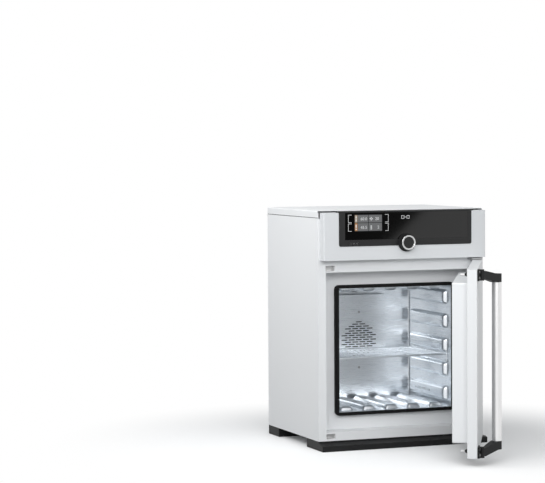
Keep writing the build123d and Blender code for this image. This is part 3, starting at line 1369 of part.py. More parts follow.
def moving_pieces():
    return {
        "fan_impeller": [fan_impeller()],
        "fan_shaft": [fan_shaft()],
        "exhaust_flap": [exhaust_flap()],
        "encoder_plunger": [encoder_plunger()],
        "encoder_shaft": [encoder_shaft()],
        "knob_body": [knob_body()],
        "knob_ring": [knob_ring()],
        "knob_cap": [knob_cap()],
        "power_button": [power_button()],
        "shelf_side_wires": shelf_side_wires(),
        "shelf_grid": [shelf_grid()],
    }


def solids_of(shapes):
    """All the solids of a node's shapes."""
    found = []
    for shape in shapes:
        found.extend(shape.solids())
    return found


def export_all():
    os.makedirs("parts", exist_ok=True)
    nodes = {}
    nodes.update(cabinet_pieces())
    nodes.update(chamber_pieces())
    nodes.update(moving_pieces())
    for name, shapes in {**door_pieces(), **handle_pieces()}.items():
        nodes[name] = [swung_open(shape) for shape in shapes]
    for name, shapes in nodes.items():
        solids = solids_of(shapes)
        shape = solids[0] if len(solids) == 1 else Compound(children=solids)
        export_step(shape, f"parts/{name}.step")


export_all()
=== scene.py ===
# %% [markdown]
# # A bench-top laboratory oven with its door open
# This lesson dresses a finished CAD model of a drying oven for the studio: a painted sheet-metal cabinet, a
# stainless chamber with a wire shelf, a black control panel and a door that stands open on its hinges.
# The shapes were settled in CAD, so Blender loads them as they are. What is left for Blender is what the eye
# reads as real: the finishes, the printing on the panel, the small hardware, the floor and the light.
# We load the frame first. Nothing added later may make the oven bigger.

# %% Load the imported oven
import json
import math

import bmesh
import bpy
from mathutils import Matrix, Vector


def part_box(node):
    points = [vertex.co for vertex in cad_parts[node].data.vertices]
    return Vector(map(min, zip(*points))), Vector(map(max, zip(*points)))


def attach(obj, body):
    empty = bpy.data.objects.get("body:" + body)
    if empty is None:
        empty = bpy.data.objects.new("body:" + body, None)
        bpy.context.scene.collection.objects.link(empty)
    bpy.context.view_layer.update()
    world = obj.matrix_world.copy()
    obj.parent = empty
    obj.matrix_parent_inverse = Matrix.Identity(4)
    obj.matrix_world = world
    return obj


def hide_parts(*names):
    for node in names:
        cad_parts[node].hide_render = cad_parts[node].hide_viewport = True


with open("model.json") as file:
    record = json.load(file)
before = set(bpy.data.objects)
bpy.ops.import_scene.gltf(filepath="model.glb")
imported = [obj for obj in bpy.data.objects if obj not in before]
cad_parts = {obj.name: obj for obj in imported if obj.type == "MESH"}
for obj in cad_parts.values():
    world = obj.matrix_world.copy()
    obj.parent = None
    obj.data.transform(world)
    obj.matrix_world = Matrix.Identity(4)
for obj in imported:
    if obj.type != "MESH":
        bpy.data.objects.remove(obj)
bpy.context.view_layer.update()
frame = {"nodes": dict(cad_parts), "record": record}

MM = 0.001

# %% [markdown]
# ## The camera
# Product pictures of cabinets are taken from far away with a long lens, so that upright edges stay upright and
# the far side is hardly smaller than the near one. A camera could be aimed with a Track To constraint at an
# empty, but here we know how far it is turned, tipped and rolled, so we build its three axes directly. The
# lens is given as the number of pixels that one radian covers, which turns into millimetres on a 36 mm sensor.

# %% Set up the camera
PHOTO_WIDTH = 545
FOCAL_PIXELS = 2116.0
SENSOR_WIDTH = 36.0
CAMERA_PLACE = Vector((-2.838, -6.244, 0.990))
CAMERA_YAW, CAMERA_PITCH, CAMERA_ROLL = (math.radians(angle) for angle in (20.95, 2.69, -0.33))


def new_object(name, data):
    """A new object in the scene that shows a mesh, a lamp, a text or a camera."""
    made = bpy.data.objects.new(name, data)
    bpy.context.scene.collection.objects.link(made)
    return made


def camera_axes(yaw, pitch, roll):
    """The right, up and forward directions of a camera that is turned, tipped down and rolled."""
    forward = Vector((math.sin(yaw) * math.cos(pitch), math.cos(yaw) * math.cos(pitch), -math.sin(pitch)))
    level_right = Vector((math.cos(yaw), -math.sin(yaw), 0.0))
    level_up = level_right.cross(forward)
    right = level_right * math.cos(roll) + level_up * math.sin(roll)
    up = level_up * math.cos(roll) - level_right * math.sin(roll)
    return right, up, forward


camera_data = bpy.data.cameras.new("studio_camera")
camera_data.sensor_fit = "HORIZONTAL"
camera_data.sensor_width = SENSOR_WIDTH
camera_data.lens = FOCAL_PIXELS / PHOTO_WIDTH * SENSOR_WIDTH
camera = new_object("studio_camera", camera_data)
right, up, forward = camera_axes(CAMERA_YAW, CAMERA_PITCH, CAMERA_ROLL)
turned = Matrix((right, up, -forward)).transposed().to_4x4()
camera.matrix_world = Matrix.Translation(CAMERA_PLACE) @ turned
bpy.context.scene.camera = camera
bpy.context.scene.view_settings.view_transform = "Standard"
print("lens", round(camera_data.lens, 1), "mm")

# %% [markdown]
# ## Small tools for shader trees
# Every finish below is a node tree. Placing nodes one by one takes many lines, so two helpers do it: one puts a
# node in a tree with its settings, one joins two sockets. An effect that several finishes share becomes a node
# group with named inputs and outputs. A group is built once and placed in each material with its own values, so
# a mend in the group reaches every finish that uses it. All our groups end alike, with two mixed colours, a
# roughness between two limits and a bump, so one more helper wires that end.

# %% Helpers for node trees and groups
SURFACE_OUTPUTS = (("Colour", "Color"), ("Roughness", "Float"), ("Normal", "Vector"))
# A Mix node has sockets of one name for numbers, vectors and colours, so the colour ones go by their number.
MIX_FACTOR, MIX_FIRST, MIX_SECOND, MIX_RESULT = 0, 6, 7, 2


def put(tree, kind, values=None, **settings):
    """One new node in the tree, with its settings and the values of its inputs."""
    made = tree.nodes.new(kind)
    for name, value in settings.items():
        setattr(made, name, value)
    for socket, value in (values or {}).items():
        made.inputs[socket].default_value = value
    return made


def wire(tree, source, output, target, socket):
    """Joins an output of one node to an input of another."""
    tree.links.new(source.outputs[output], target.inputs[socket])


def effect_group(name, numbers=(), colours=(), vectors=(), outputs=()):
    """An empty node group with named inputs and outputs, and its two end nodes."""
    tree = bpy.data.node_groups.new(name, "ShaderNodeTree")
    for kind, labels in (("Color", colours), ("Float", numbers), ("Vector", vectors)):
        for label in labels:
            tree.interface.new_socket(label, in_out="INPUT", socket_type="NodeSocket" + kind)
    for label, kind in outputs:
        tree.interface.new_socket(label, in_out="OUTPUT", socket_type="NodeSocket" + kind)
    return tree, tree.nodes.new("NodeGroupInput"), tree.nodes.new("NodeGroupOutput")


def end_effect(tree, ends, second_colour, tone_from, sheen_from, relief_from, height, sunk=False):
    """Mixes the two colours, spreads the roughness and lifts the bump, each by a node's output."""
    group_in, group_out = ends
    tone = put(tree, "ShaderNodeMix", data_type="RGBA")
    wire(tree, *tone_from, tone, MIX_FACTOR)
    wire(tree, group_in, "Colour", tone, MIX_FIRST)
    wire(tree, group_in, second_colour, tone, MIX_SECOND)
    wire(tree, tone, MIX_RESULT, group_out, "Colour")
    sheen = put(tree, "ShaderNodeMapRange")
    wire(tree, *sheen_from, sheen, "Value")
    wire(tree, group_in, "Roughness low", sheen, "To Min")
    wire(tree, group_in, "Roughness high", sheen, "To Max")
    wire(tree, sheen, "Result", group_out, "Roughness")
    relief = put(tree, "ShaderNodeBump", {"Strength": 1.0}, invert=sunk)
    wire(tree, *relief_from, relief, "Height")
    wire(tree, group_in, height, relief, "Distance")
    wire(tree, relief, "Normal", group_out, "Normal")


print("helpers ready")

# %% [markdown]
# ## Powder coat
# The cabinet is bent from sheet steel and powder coated: charged plastic dust melts into a skin in an oven. The
# skin never flows quite flat. It keeps a faint swell called orange peel, a millimetre or two from crest to
# crest, and its tone drifts a little over a panel. One slow noise mixes two close colours, and one fine
# noise lifts a bump and stirs the roughness. The bump is two hundredths of a millimetre high, because much more
# than that reads as stucco.

# %% Effect: powder coat
coat_tree, coat_in, coat_out = effect_group(
    "powder_coat_skin",
    colours=("Colour", "Second colour"),
    numbers=("Drift per metre", "Peel per metre", "Peel height", "Roughness low", "Roughness high"),
    outputs=SURFACE_OUTPUTS,
)
place = put(coat_tree, "ShaderNodeTexCoord")
drift = put(coat_tree, "ShaderNodeTexNoise", {"Detail": 3.0, "Roughness": 0.5})
peel = put(coat_tree, "ShaderNodeTexNoise", {"Detail": 2.0, "Roughness": 0.6})
for noise, pace in ((drift, "Drift per metre"), (peel, "Peel per metre")):
    wire(coat_tree, place, "Object", noise, "Vector")
    wire(coat_tree, coat_in, pace, noise, "Scale")
end_effect(coat_tree, (coat_in, coat_out), "Second colour", (drift, "Fac"), (peel, "Fac"), (peel, "Fac"),
           "Peel height")
print("group", coat_tree.name, "has", len(coat_tree.nodes), "nodes")

# %% [markdown]
# ## Rolled and drawn metal
# Stainless sheet, aluminium bar and zinc sheet all carry fine lines that run the way the metal went through the
# rolls or the die. Stretching the coordinates before the noise draws it out into such lines. Only a vector tells
# one part from the next: large numbers across the lines and a small one along them. The lines stir the
# roughness more than the height, which gives a soft streak in each reflection instead of scratches.

# %% Effect: rolled metal
rolled_tree, rolled_in, rolled_out = effect_group(
    "rolled_metal_lines",
    colours=("Colour", "Second colour"),
    numbers=("Drift per metre", "Line height", "Roughness low", "Roughness high"),
    vectors=("Lines per metre",),
    outputs=SURFACE_OUTPUTS,
)
place = put(rolled_tree, "ShaderNodeTexCoord")
stretch = put(rolled_tree, "ShaderNodeVectorMath", operation="MULTIPLY")
lines = put(rolled_tree, "ShaderNodeTexNoise", {"Scale": 1.0, "Detail": 4.0, "Roughness": 0.6})
drift = put(rolled_tree, "ShaderNodeTexNoise", {"Detail": 2.0})
wire(rolled_tree, place, "Object", stretch, 0)
wire(rolled_tree, rolled_in, "Lines per metre", stretch, 1)
wire(rolled_tree, stretch, "Vector", lines, "Vector")
wire(rolled_tree, place, "Object", drift, "Vector")
wire(rolled_tree, rolled_in, "Drift per metre", drift, "Scale")
end_effect(rolled_tree, (rolled_in, rolled_out), "Second colour", (drift, "Fac"), (lines, "Fac"), (lines, "Fac"),
           "Line height")
print("group", rolled_tree.name, "has", len(rolled_tree.nodes), "nodes")

# %% [markdown]
# ## Moulded plastic and rubber
# The tool for a moulded part is etched, and the part carries the etching as a fine leathery skin. Voronoi
# cells give that skin: each cell is a shallow dome with a valley round it. The valleys are a little darker,
# because they hold less light, so the same cell distance also mixes the two colours.

# %% Effect: moulded skin
skin_tree, skin_in, skin_out = effect_group(
    "moulded_skin",
    colours=("Colour", "Valley colour"),
    numbers=("Cells per metre", "Cell height", "Roughness low", "Roughness high"),
    outputs=SURFACE_OUTPUTS,
)
place = put(skin_tree, "ShaderNodeTexCoord")
cells = put(skin_tree, "ShaderNodeTexVoronoi", feature="SMOOTH_F1")
stir = put(skin_tree, "ShaderNodeTexNoise", {"Scale": 14.0, "Detail": 3.0})
wire(skin_tree, place, "Object", cells, "Vector")
wire(skin_tree, place, "Object", stir, "Vector")
wire(skin_tree, skin_in, "Cells per metre", cells, "Scale")
end_effect(skin_tree, (skin_in, skin_out), "Valley colour", (cells, "Distance"), (stir, "Fac"),
           (cells, "Distance"), "Cell height", sunk=True)
print("group", skin_tree.name, "has", len(skin_tree.nodes), "nodes")

# %% [markdown]
# ## From an effect to a material
# A material here is one Principled BSDF whose colour, roughness and normal come from one of the groups, while
# everything that is the same all over, such as how metallic it is, sits on the shader's own sockets. That split
# keeps the finish readable and lets it be exported: a value typed on the shader survives, a wired constant may not.

# %% Helper: a finish from an effect
finishes = {}


def finish(name, effect, values, **shader_values):
    """A material whose colour, roughness and normal come from an effect group."""
    material = bpy.data.materials.new(name)
    material.use_nodes = True
    tree = material.node_tree
    shader = tree.nodes["Principled BSDF"]
    for socket, value in shader_values.items():
        shader.inputs[socket.replace("_", " ")].default_value = value
    surface = put(tree, "ShaderNodeGroup", node_tree=effect)
    for socket, value in values.items():
        surface.inputs[socket].default_value = value
    wire(tree, surface, "Colour", shader, "Base Color")
    wire(tree, surface, "Roughness", shader, "Roughness")
    wire(tree, surface, "Normal", shader, "Normal")
    return material


def grey(value, blue=0.0):
    """A grey of that brightness as a colour with alpha, with a little more blue than red where asked."""
    return (value - blue / 2, value, value + blue / 2, 1.0)


print("finish helper ready")

# %% [markdown]
# ## The painted casing
# The sides, the cover, the door and the frame round the chamber share one pale, slightly cool grey, satin and
# smooth. The panel carrier above the door is the same paint a shade darker.

# %% Finish: painted casing
coat_values = {"Drift per metre": 1.7, "Peel per metre": 620.0, "Peel height": 0.00002}
finishes["painted_light"] = finish(
    "painted_light", coat_tree,
    {**coat_values, "Colour": grey(0.78, 0.02), "Second colour": grey(0.74, 0.025),
     "Roughness low": 0.34, "Roughness high": 0.46},
    Specular_IOR_Level=0.3)
finishes["fascia_grey"] = finish(
    "fascia_grey", coat_tree,
    {**coat_values, "Colour": grey(0.68, 0.025), "Second colour": grey(0.645, 0.03),
     "Roughness low": 0.36, "Roughness high": 0.5},
    Specular_IOR_Level=0.3)
print(sorted(finishes))

# %% [markdown]
# ## Sheet and bar metal
# The chamber is stainless sheet with a dull rolled finish, pressed into ribs. Its lines run level, so they are
# dense upwards and long sideways, and they have no height: a bump would smear the ribs' small reflections. The
# handle bar is drawn and anodised, with lines along its length. The hinge plates and pins are turned or cut
# steel, and the parts that nobody sees are zinc sheet and bronze.

# %% Finish: stainless, aluminium, steel, zinc and bronze
METALS = {
    # slot: (colour, second colour, lines per metre, line height, roughness low, roughness high)
    "stainless": (grey(0.85, 0.07), grey(0.80, 0.07), (14.0, 14.0, 900.0), 0.0, 0.265, 0.285),
    "anodised_aluminium": (grey(0.80), grey(0.74), (1600.0, 1600.0, 6.0), 0.000006, 0.28, 0.42),
    "steel": (grey(0.46, 0.01), grey(0.38, 0.01), (60.0, 60.0, 900.0), 0.000006, 0.32, 0.5),
    "shaft_steel": (grey(0.55, 0.01), grey(0.50, 0.01), (900.0, 40.0, 900.0), 0.000004, 0.2, 0.34),
    "zinc_sheet": (grey(0.56, 0.02), grey(0.44, 0.02), (60.0, 60.0, 60.0), 0.00001, 0.34, 0.52),
    "bronze": ((0.52, 0.33, 0.16, 1.0), (0.42, 0.26, 0.12, 1.0), (600.0, 600.0, 40.0), 0.000006, 0.3, 0.45),
    "bright_chrome": (grey(0.80, 0.01), grey(0.76, 0.01), (900.0, 40.0, 900.0), 0.000001, 0.12, 0.2),
}
METAL_DRIFT = 7.0
for slot_name, (colour, second, line_rate, height, smooth, rough) in METALS.items():
    finishes[slot_name] = finish(
        slot_name, rolled_tree,
        {"Colour": colour, "Second colour": second, "Drift per metre": METAL_DRIFT, "Lines per metre": line_rate,
         "Line height": height, "Roughness low": smooth, "Roughness high": rough},
        Metallic=1.0)
print(len(METALS), "metals")

# %% [markdown]
# ## Plastics, rubber and what lies inside
# The foot rails, the handle arms and the latch parts are glass-filled nylon with an etched skin. The seal is
# silicone, duller and without grain. The wool, the boards and the heater mats are hidden behind sheet metal,
# but they get their own finish too, because the model may be taken apart.

# %% Finish: plastics, rubber and inner parts
MOULDED = {
    # slot: (colour, valley colour, cells per metre, cell height, roughness low, roughness high, shine)
    "black_moulding": (grey(0.011, 0.001), grey(0.007), 1500.0, 0.00003, 0.45, 0.62, 0.22),
    "black_gloss": (grey(0.016, 0.001), grey(0.013), 1800.0, 0.000004, 0.3, 0.4, 0.3),
    "silicone_black": (grey(0.007), grey(0.005), 700.0, 0.00001, 0.55, 0.7, 0.12),
    "white_plastic": (grey(0.80), grey(0.74), 1500.0, 0.00001, 0.35, 0.5, 0.5),
    "motor_grey": (grey(0.12), grey(0.08), 900.0, 0.00005, 0.45, 0.6, 0.4),
    "heater_red": ((0.36, 0.05, 0.02, 1.0), (0.24, 0.03, 0.015, 1.0), 500.0, 0.00008, 0.5, 0.7, 0.3),
    "mineral_wool": ((0.50, 0.44, 0.26, 1.0), (0.26, 0.22, 0.12, 1.0), 160.0, 0.0012, 0.85, 1.0, 0.1),
    "circuit_board": ((0.02, 0.12, 0.045, 1.0), (0.01, 0.07, 0.03, 1.0), 420.0, 0.00004, 0.3, 0.5, 0.5),
}
for slot_name, (colour, valley, rate, height, smooth, rough, shine) in MOULDED.items():
    finishes[slot_name] = finish(
        slot_name, skin_tree,
        {"Colour": colour, "Valley colour": valley, "Cells per metre": rate, "Cell height": height,
         "Roughness low": smooth, "Roughness high": rough},
        Specular_IOR_Level=shine)
print(len(MOULDED), "moulded finishes")

# %% [markdown]
# ## The glass of the control panel
# The display sits behind a sheet of acrylic that is printed black on its back. What we see is a black body with
# a flat, glossy skin, so a near-black base with a low roughness and the refractive index of acrylic does it.
# Its tone is a little uneven, as the print is.

# %% Finish: panel glass and display window
ACRYLIC_INDEX = 1.49
finishes["dark_glass"] = finish(
    "dark_glass", coat_tree,
    {"Colour": grey(0.0035), "Second colour": grey(0.0025), "Drift per metre": 4.0, "Peel per metre": 90.0,
     "Peel height": 0.0, "Roughness low": 0.06, "Roughness high": 0.09},
    IOR=ACRYLIC_INDEX)
finishes["display_window"] = finish(
    "display_window", skin_tree,
    {"Colour": grey(0.035, 0.004), "Valley colour": grey(0.022, 0.003), "Cells per metre": 1200.0,
     "Cell height": 0.000002, "Roughness low": 0.16, "Roughness high": 0.22},
    IOR=ACRYLIC_INDEX)
print(sorted(finishes))

# %% [markdown]
# ## Dressing the CAD parts
# The record that comes with the CAD model says which finish each part takes. Each CAD object keeps its shape,
# and the finish is assigned to its material slots. Two small fittings are paler than the record has them.

# %% Assign the finishes
slot_of_node = {row["node"]: row["material_slot"] for row in frame["record"]["subparts"]}
PALE_FITTINGS = ("latch_strikes", "door_buffer")
for node_name, node_object in frame["nodes"].items():
    chosen = finishes["white_plastic" if node_name in PALE_FITTINGS else slot_of_node[node_name]]
    if not node_object.material_slots:
        node_object.data.materials.append(chosen)
    for material_slot in node_object.material_slots:
        material_slot.material = chosen
print(len(frame["nodes"]), "CAD parts dressed in", len(set(slot_of_node.values())), "finishes")

# %% [markdown]
# ## Printing inks and lit fields
# The marks on the panel are screen printed: thin, flat and matt. The fields of the display are lit from behind,
# but so weakly in a bright studio that only the figures need a light of their own. A table lists all these
# finishes under the display window's slot.

# %% Finish: printing ink and lit fields
INKS = {
    # name: (colour, second colour, own light)
    "panel_ink": (grey(0.52), grey(0.44), 0.0),
    "faint_ink": (grey(0.16), grey(0.12), 0.0),
    "lit_field": (grey(0.125, 0.004), grey(0.10, 0.004), 0.0),
    "lit_figure": (grey(0.62, 0.01), grey(0.54, 0.01), 0.12),
    "warm_field": ((0.42, 0.20, 0.07, 1.0), (0.34, 0.15, 0.05, 1.0), 0.0),
    "pale_warm_field": ((0.34, 0.26, 0.18, 1.0), (0.28, 0.21, 0.14, 1.0), 0.0),
}
MARK_SLOTS = dict.fromkeys(INKS, "display_window")
for ink_name, (colour, second, glow) in INKS.items():
    finishes[ink_name] = finish(
        ink_name, coat_tree,
        {"Colour": colour, "Second colour": second, "Drift per metre": 160.0, "Peel per metre": 2600.0,
         "Peel height": 0.000002, "Roughness low": 0.45, "Roughness high": 0.6},
        Emission_Color=colour, Emission_Strength=glow)
print(sorted(INKS))

# %% [markdown]
# ## Tools for added pieces
# Printed marks could be painted with a texture, but then they would blur up close, so each one is a thin mesh, a
# few hundredths of a millimetre proud of the glass. The small hardware further on is built with the same tools.
# They all do one thing: they lay closed rings of points and join each ring to the next with a band of faces. The
# outlines of the marks lie in the plane of the panel, with x to the right and z up.

# %% Helpers for added pieces
def to_piece(name, mesh_maker, finish_name, body, smooth=False):
    """A new object from a bmesh, with its finish, riding on a body."""
    mesh = bpy.data.meshes.new(name)
    bmesh.ops.recalc_face_normals(mesh_maker, faces=mesh_maker.faces)
    mesh_maker.to_mesh(mesh)
    mesh_maker.free()
    for polygon in mesh.polygons:
        polygon.use_smooth = smooth
    piece = new_object(name, mesh)
    mesh.materials.append(finishes[finish_name])
    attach(piece, body)
    return piece


def add_point(maker, x, y, z):
    """A point of the mesh, given in millimetres."""
    return maker.verts.new((x * MM, y * MM, z * MM))


def bridge(maker, lower, upper):
    """A band of faces between two closed rings with the same number of points."""
    for start in range(len(lower)):
        end = (start + 1) % len(lower)
        maker.faces.new((lower[start], lower[end], upper[end], upper[start]))


def close_prism(maker, lower, upper):
    """A closed body between two rings: a face on each, and a band round them."""
    maker.faces.new(lower)
    maker.faces.new(upper)
    bridge(maker, lower, upper)


def add_outline(maker, outline, back, front):
    """A closed prism from an outline of (x, z) points, between two depths."""
    close_prism(maker, *([add_point(maker, x, y, z) for x, z in outline] for y in (back, front)))


def add_ring(maker, outer, inner, back, front):
    """A closed band between two outlines with the same number of points."""
    (outer_back, outer_front), (inner_back, inner_front) = (
        [[add_point(maker, x, y, z) for x, z in outline] for y in (back, front)] for outline in (outer, inner))
    bridge(maker, outer_back, inner_back)
    bridge(maker, outer_front, inner_front)
    bridge(maker, outer_back, outer_front)
    bridge(maker, inner_back, inner_front)


def add_box(maker, low, high):
    """A plain box between its lowest and its highest corner."""
    (x0, y0, z0), (x1, y1, z1) = low, high
    around = ((x0, y0), (x1, y0), (x1, y1), (x0, y1))
    close_prism(maker, *([add_point(maker, x, y, z) for x, y in around] for z in (z0, z1)))


def soften(maker, radius):
    """Rounds all the edges of a mesh a little."""
    bmesh.ops.bevel(maker, geom=maker.edges[:], offset=radius * MM, segments=2, affect="EDGES")


print("tools for pieces ready")


# %% Helpers for outlines
FEW_STEPS, MANY_STEPS = 2, 6  # how many pieces a corner of an outline is cut into, besides the usual four


def rounded_outline(left, bottom, right, top, radius, steps=4):
    """The outline of a rectangle with rounded corners."""
    points = []
    for x, z, start in ((right - radius, top - radius, 0), (left + radius, top - radius, 90),
                        (left + radius, bottom + radius, 180), (right - radius, bottom + radius, 270)):
        for step in range(steps + 1):
            angle = math.radians(start + 90 * step / steps)
            points.append((x + radius * math.cos(angle), z + radius * math.sin(angle)))
    return points


def square_outline(x, z, half, radius, steps=4):
    """The outline of a rounded square about its middle."""
    return rounded_outline(x - half, z - half, x + half, z + half, radius, steps)


print("outlines ready")

# %% [markdown]
# ## The display
# The display shows four fields in two rows. Each field is a rounded plate with a dark gap to the next, and at
# the left of each row stands a warm strip. The plates are five hundredths of a millimetre thick.

# %% The display's fields
SCREEN_LEFT, SCREEN_RIGHT, SCREEN_LOW, SCREEN_HIGH = -180.4, -83.7, 703.3, 756.7
SPLIT_X, SPLIT_Z = -131.6, 730.4
SCREEN_FRONT_Y = -35.25
FIELD_FRONT_Y = SCREEN_FRONT_Y - 0.05
FIGURE_FRONT_Y = FIELD_FRONT_Y - 0.04
MARGIN, FIELD_GAP, FIELD_CORNER = 1.4, 1.0, 1.2
STRIP_WIDTH, STRIP_GAP = 9.5, 0.6
FIELD_COLUMNS = ((SCREEN_LEFT + STRIP_WIDTH + MARGIN, SPLIT_X - FIELD_GAP),
                 (SPLIT_X + FIELD_GAP, SCREEN_RIGHT - MARGIN))
FIELD_ROWS = ((SCREEN_LOW + MARGIN, SPLIT_Z - FIELD_GAP), (SPLIT_Z + FIELD_GAP, SCREEN_HIGH - MARGIN))
STRIPS = (("display_heat_strip", "warm_field"), ("display_upper_strip", "pale_warm_field"))

fields = bmesh.new()
for left, right_edge in FIELD_COLUMNS:
    for bottom, top in FIELD_ROWS:
        field = rounded_outline(left, bottom, right_edge, top, FIELD_CORNER)
        add_outline(fields, field, SCREEN_FRONT_Y, FIELD_FRONT_Y)
to_piece("display_fields", fields, "lit_field", "cabinet")

for (strip_name, ink_name), (bottom, top) in zip(STRIPS, FIELD_ROWS):
    strip = bmesh.new()
    left = SCREEN_LEFT + MARGIN
    add_outline(strip, rounded_outline(left, bottom, left + STRIP_WIDTH - STRIP_GAP, top, FIELD_CORNER),
                SCREEN_FRONT_Y, FIELD_FRONT_Y)
    to_piece(strip_name, strip, ink_name, "cabinet")
print("display fields made")

# %% [markdown]
# ## Numbers and picture marks
# Each field holds a plain number or a small picture: a fan with four blades, a bar gauge, and short bars on the
# warm strips. The numbers are Blender text objects turned into meshes, so that the model does not depend on a
# font file later on. A text lies flat on the ground when it is new, so it is stood up and set on its line.

# %% The display's numbers
FIGURE_HEIGHT = 9.4
FIGURE_SHARE_OF_SIZE = 0.7
FIGURE_HALF_DEPTH = 0.02
SAME_POINT = 0.000001
UPPER_LINE, LOWER_LINE = 738.6, 711.2
NUMBERS = (
    # name, digits, left end, line that they stand on
    ("display_number_1", "60.0", -159.5, UPPER_LINE),
    ("display_number_2", "20", -108.5, UPPER_LINE),
    ("display_number_3", "45.5", -159.5, LOWER_LINE),
    ("display_number_4", "2", -100.5, LOWER_LINE),
)


def number_piece(name, digits, left, bottom):
    """Digits as a thin mesh on the display, standing on the given line."""
    text = bpy.data.curves.new(name, "FONT")
    text.body = digits
    text.size = FIGURE_HEIGHT / FIGURE_SHARE_OF_SIZE * MM
    text.extrude = FIGURE_HALF_DEPTH * MM
    writer = new_object(name, text)
    bpy.context.view_layer.update()
    flat = bpy.data.meshes.new_from_object(writer.evaluated_get(bpy.context.evaluated_depsgraph_get()))
    bpy.data.objects.remove(writer)
    stand = Matrix.Translation((left * MM, (FIELD_FRONT_Y - FIGURE_HALF_DEPTH) * MM, bottom * MM))
    flat.transform(stand @ Matrix.Rotation(math.radians(90), 4, "X"))
    maker = bmesh.new()
    maker.from_mesh(flat)
    bmesh.ops.remove_doubles(maker, verts=maker.verts, dist=SAME_POINT)
    to_piece(name, maker, "lit_figure", "cabinet")


for number in NUMBERS:
    number_piece(*number)
print(len(NUMBERS), "numbers made")

# %% The display's picture marks
FAN_X, FAN_Z = -122.0, 743.2
FAN_BLADES = 4
BLADE = ((1.0, -30), (4.6, -34), (5.8, -6), (5.0, 22), (1.4, 20))  # distance from the hub, angle in degrees
GAUGE_X, GAUGE_LOW_Z = -122.0, 709.0
GAUGE_BARS, GAUGE_PITCH, GAUGE_BAR_HEIGHT, GAUGE_HALF_WIDTH, GAUGE_CORNER = 4, 3.4, 2.2, 2.6, 0.5
STRIP_BAR_LEFT, STRIP_BAR_RIGHT, STRIP_BAR_CORNER = -176.4, -172.8, 1.2
STRIP_BARS = ((735.0, 742.5), (744.5, 752.0), (708.0, 712.5), (714.5, 725.0))

picture = bmesh.new()
for index in range(FAN_BLADES):
    blade = []
    for reach, angle in BLADE:
        turn_by = math.radians(angle + 360 / FAN_BLADES * index)
        blade.append((FAN_X + reach * math.cos(turn_by), FAN_Z + reach * math.sin(turn_by)))
    add_outline(picture, blade, FIELD_FRONT_Y, FIGURE_FRONT_Y)
for step in range(GAUGE_BARS):
    low = GAUGE_LOW_Z + GAUGE_PITCH * step
    bar = rounded_outline(GAUGE_X - GAUGE_HALF_WIDTH, low, GAUGE_X + GAUGE_HALF_WIDTH, low + GAUGE_BAR_HEIGHT,
                          GAUGE_CORNER, FEW_STEPS)
    add_outline(picture, bar, FIELD_FRONT_Y, FIGURE_FRONT_Y)
for low, high in STRIP_BARS:
    bar = rounded_outline(STRIP_BAR_LEFT, low, STRIP_BAR_RIGHT, high, STRIP_BAR_CORNER, 3)
    add_outline(picture, bar, FIELD_FRONT_Y, FIGURE_FRONT_Y)
to_piece("display_picture_marks", picture, "lit_figure", "cabinet")
print("picture marks made")

# %% [markdown]
# ## Touch marks, the link sign and the button marks
# Beside the display, four brackets show where to touch. Near the middle, two small squares joined by a dash are a
# general sign for a connection. Three tiny marks sit on the power button, and these must ride on the button and
# not on the cabinet, or they would hang in the air when the button is pressed.

# %% Touch brackets and link sign
GLASS_FRONT_Y = -35.4
MARK_FRONT_Y = GLASS_FRONT_Y - 0.04
STROKE = 1.7
BRACKET_COLUMNS = ((-202.5, -190.0), (-61.5, -73.5))  # the upright's outer edge, the open ends
BRACKET_ROWS = ((703.2, 728.6), (731.2, 756.8))
LINK_X, LINK_Z = -2.0, 746.6
LINK_REACH = 9.2
LINK_OUTER, LINK_INNER = (5.4, 1.6), (3.6, 0.8)  # half the width, corner radius
DASH_HALF_LENGTH, DASH_HALF_HEIGHT, DASH_CORNER = 3.4, 0.9, 0.4

brackets = bmesh.new()
for outer_x, inner_x in BRACKET_COLUMNS:
    stroke_x = outer_x + (STROKE if inner_x > outer_x else -STROKE)
    for bottom, top in BRACKET_ROWS:
        add_outline(brackets, [
            (outer_x, bottom), (inner_x, bottom), (inner_x, bottom + STROKE), (stroke_x, bottom + STROKE),
            (stroke_x, top - STROKE), (inner_x, top - STROKE), (inner_x, top), (outer_x, top)],
            GLASS_FRONT_Y, MARK_FRONT_Y)
to_piece("touch_brackets", brackets, "panel_ink", "cabinet")

link = bmesh.new()
for side in (-1, 1):
    middle_x = LINK_X + side * LINK_REACH
    add_ring(link, square_outline(middle_x, LINK_Z, *LINK_OUTER), square_outline(middle_x, LINK_Z, *LINK_INNER),
             GLASS_FRONT_Y, MARK_FRONT_Y)
dash = rounded_outline(LINK_X - DASH_HALF_LENGTH, LINK_Z - DASH_HALF_HEIGHT,
                       LINK_X + DASH_HALF_LENGTH, LINK_Z + DASH_HALF_HEIGHT, DASH_CORNER, FEW_STEPS)
add_outline(link, dash, GLASS_FRONT_Y, MARK_FRONT_Y)
to_piece("link_mark", link, "panel_ink", "cabinet")
print("brackets and link sign made")

# %% Marks on the power button
BUTTON_FRONT_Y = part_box("power_button")[0].y / MM
BUTTON_DEPTHS = (BUTTON_FRONT_Y + 0.01, BUTTON_FRONT_Y - 0.03)
BUTTON_Z = 664.5
BAR_LEFT, BAR_RIGHT, BAR_HALF_HEIGHT, BAR_CORNER = -193.4, -192.2, 2.2, 0.3
CIRCLE_X, DOT_X = -182.6, -171.9
CIRCLE_OUTER, CIRCLE_INNER, DOT = (2.2, 2.1), (1.2, 1.1), (1.7, 1.6)  # half the width, corner radius

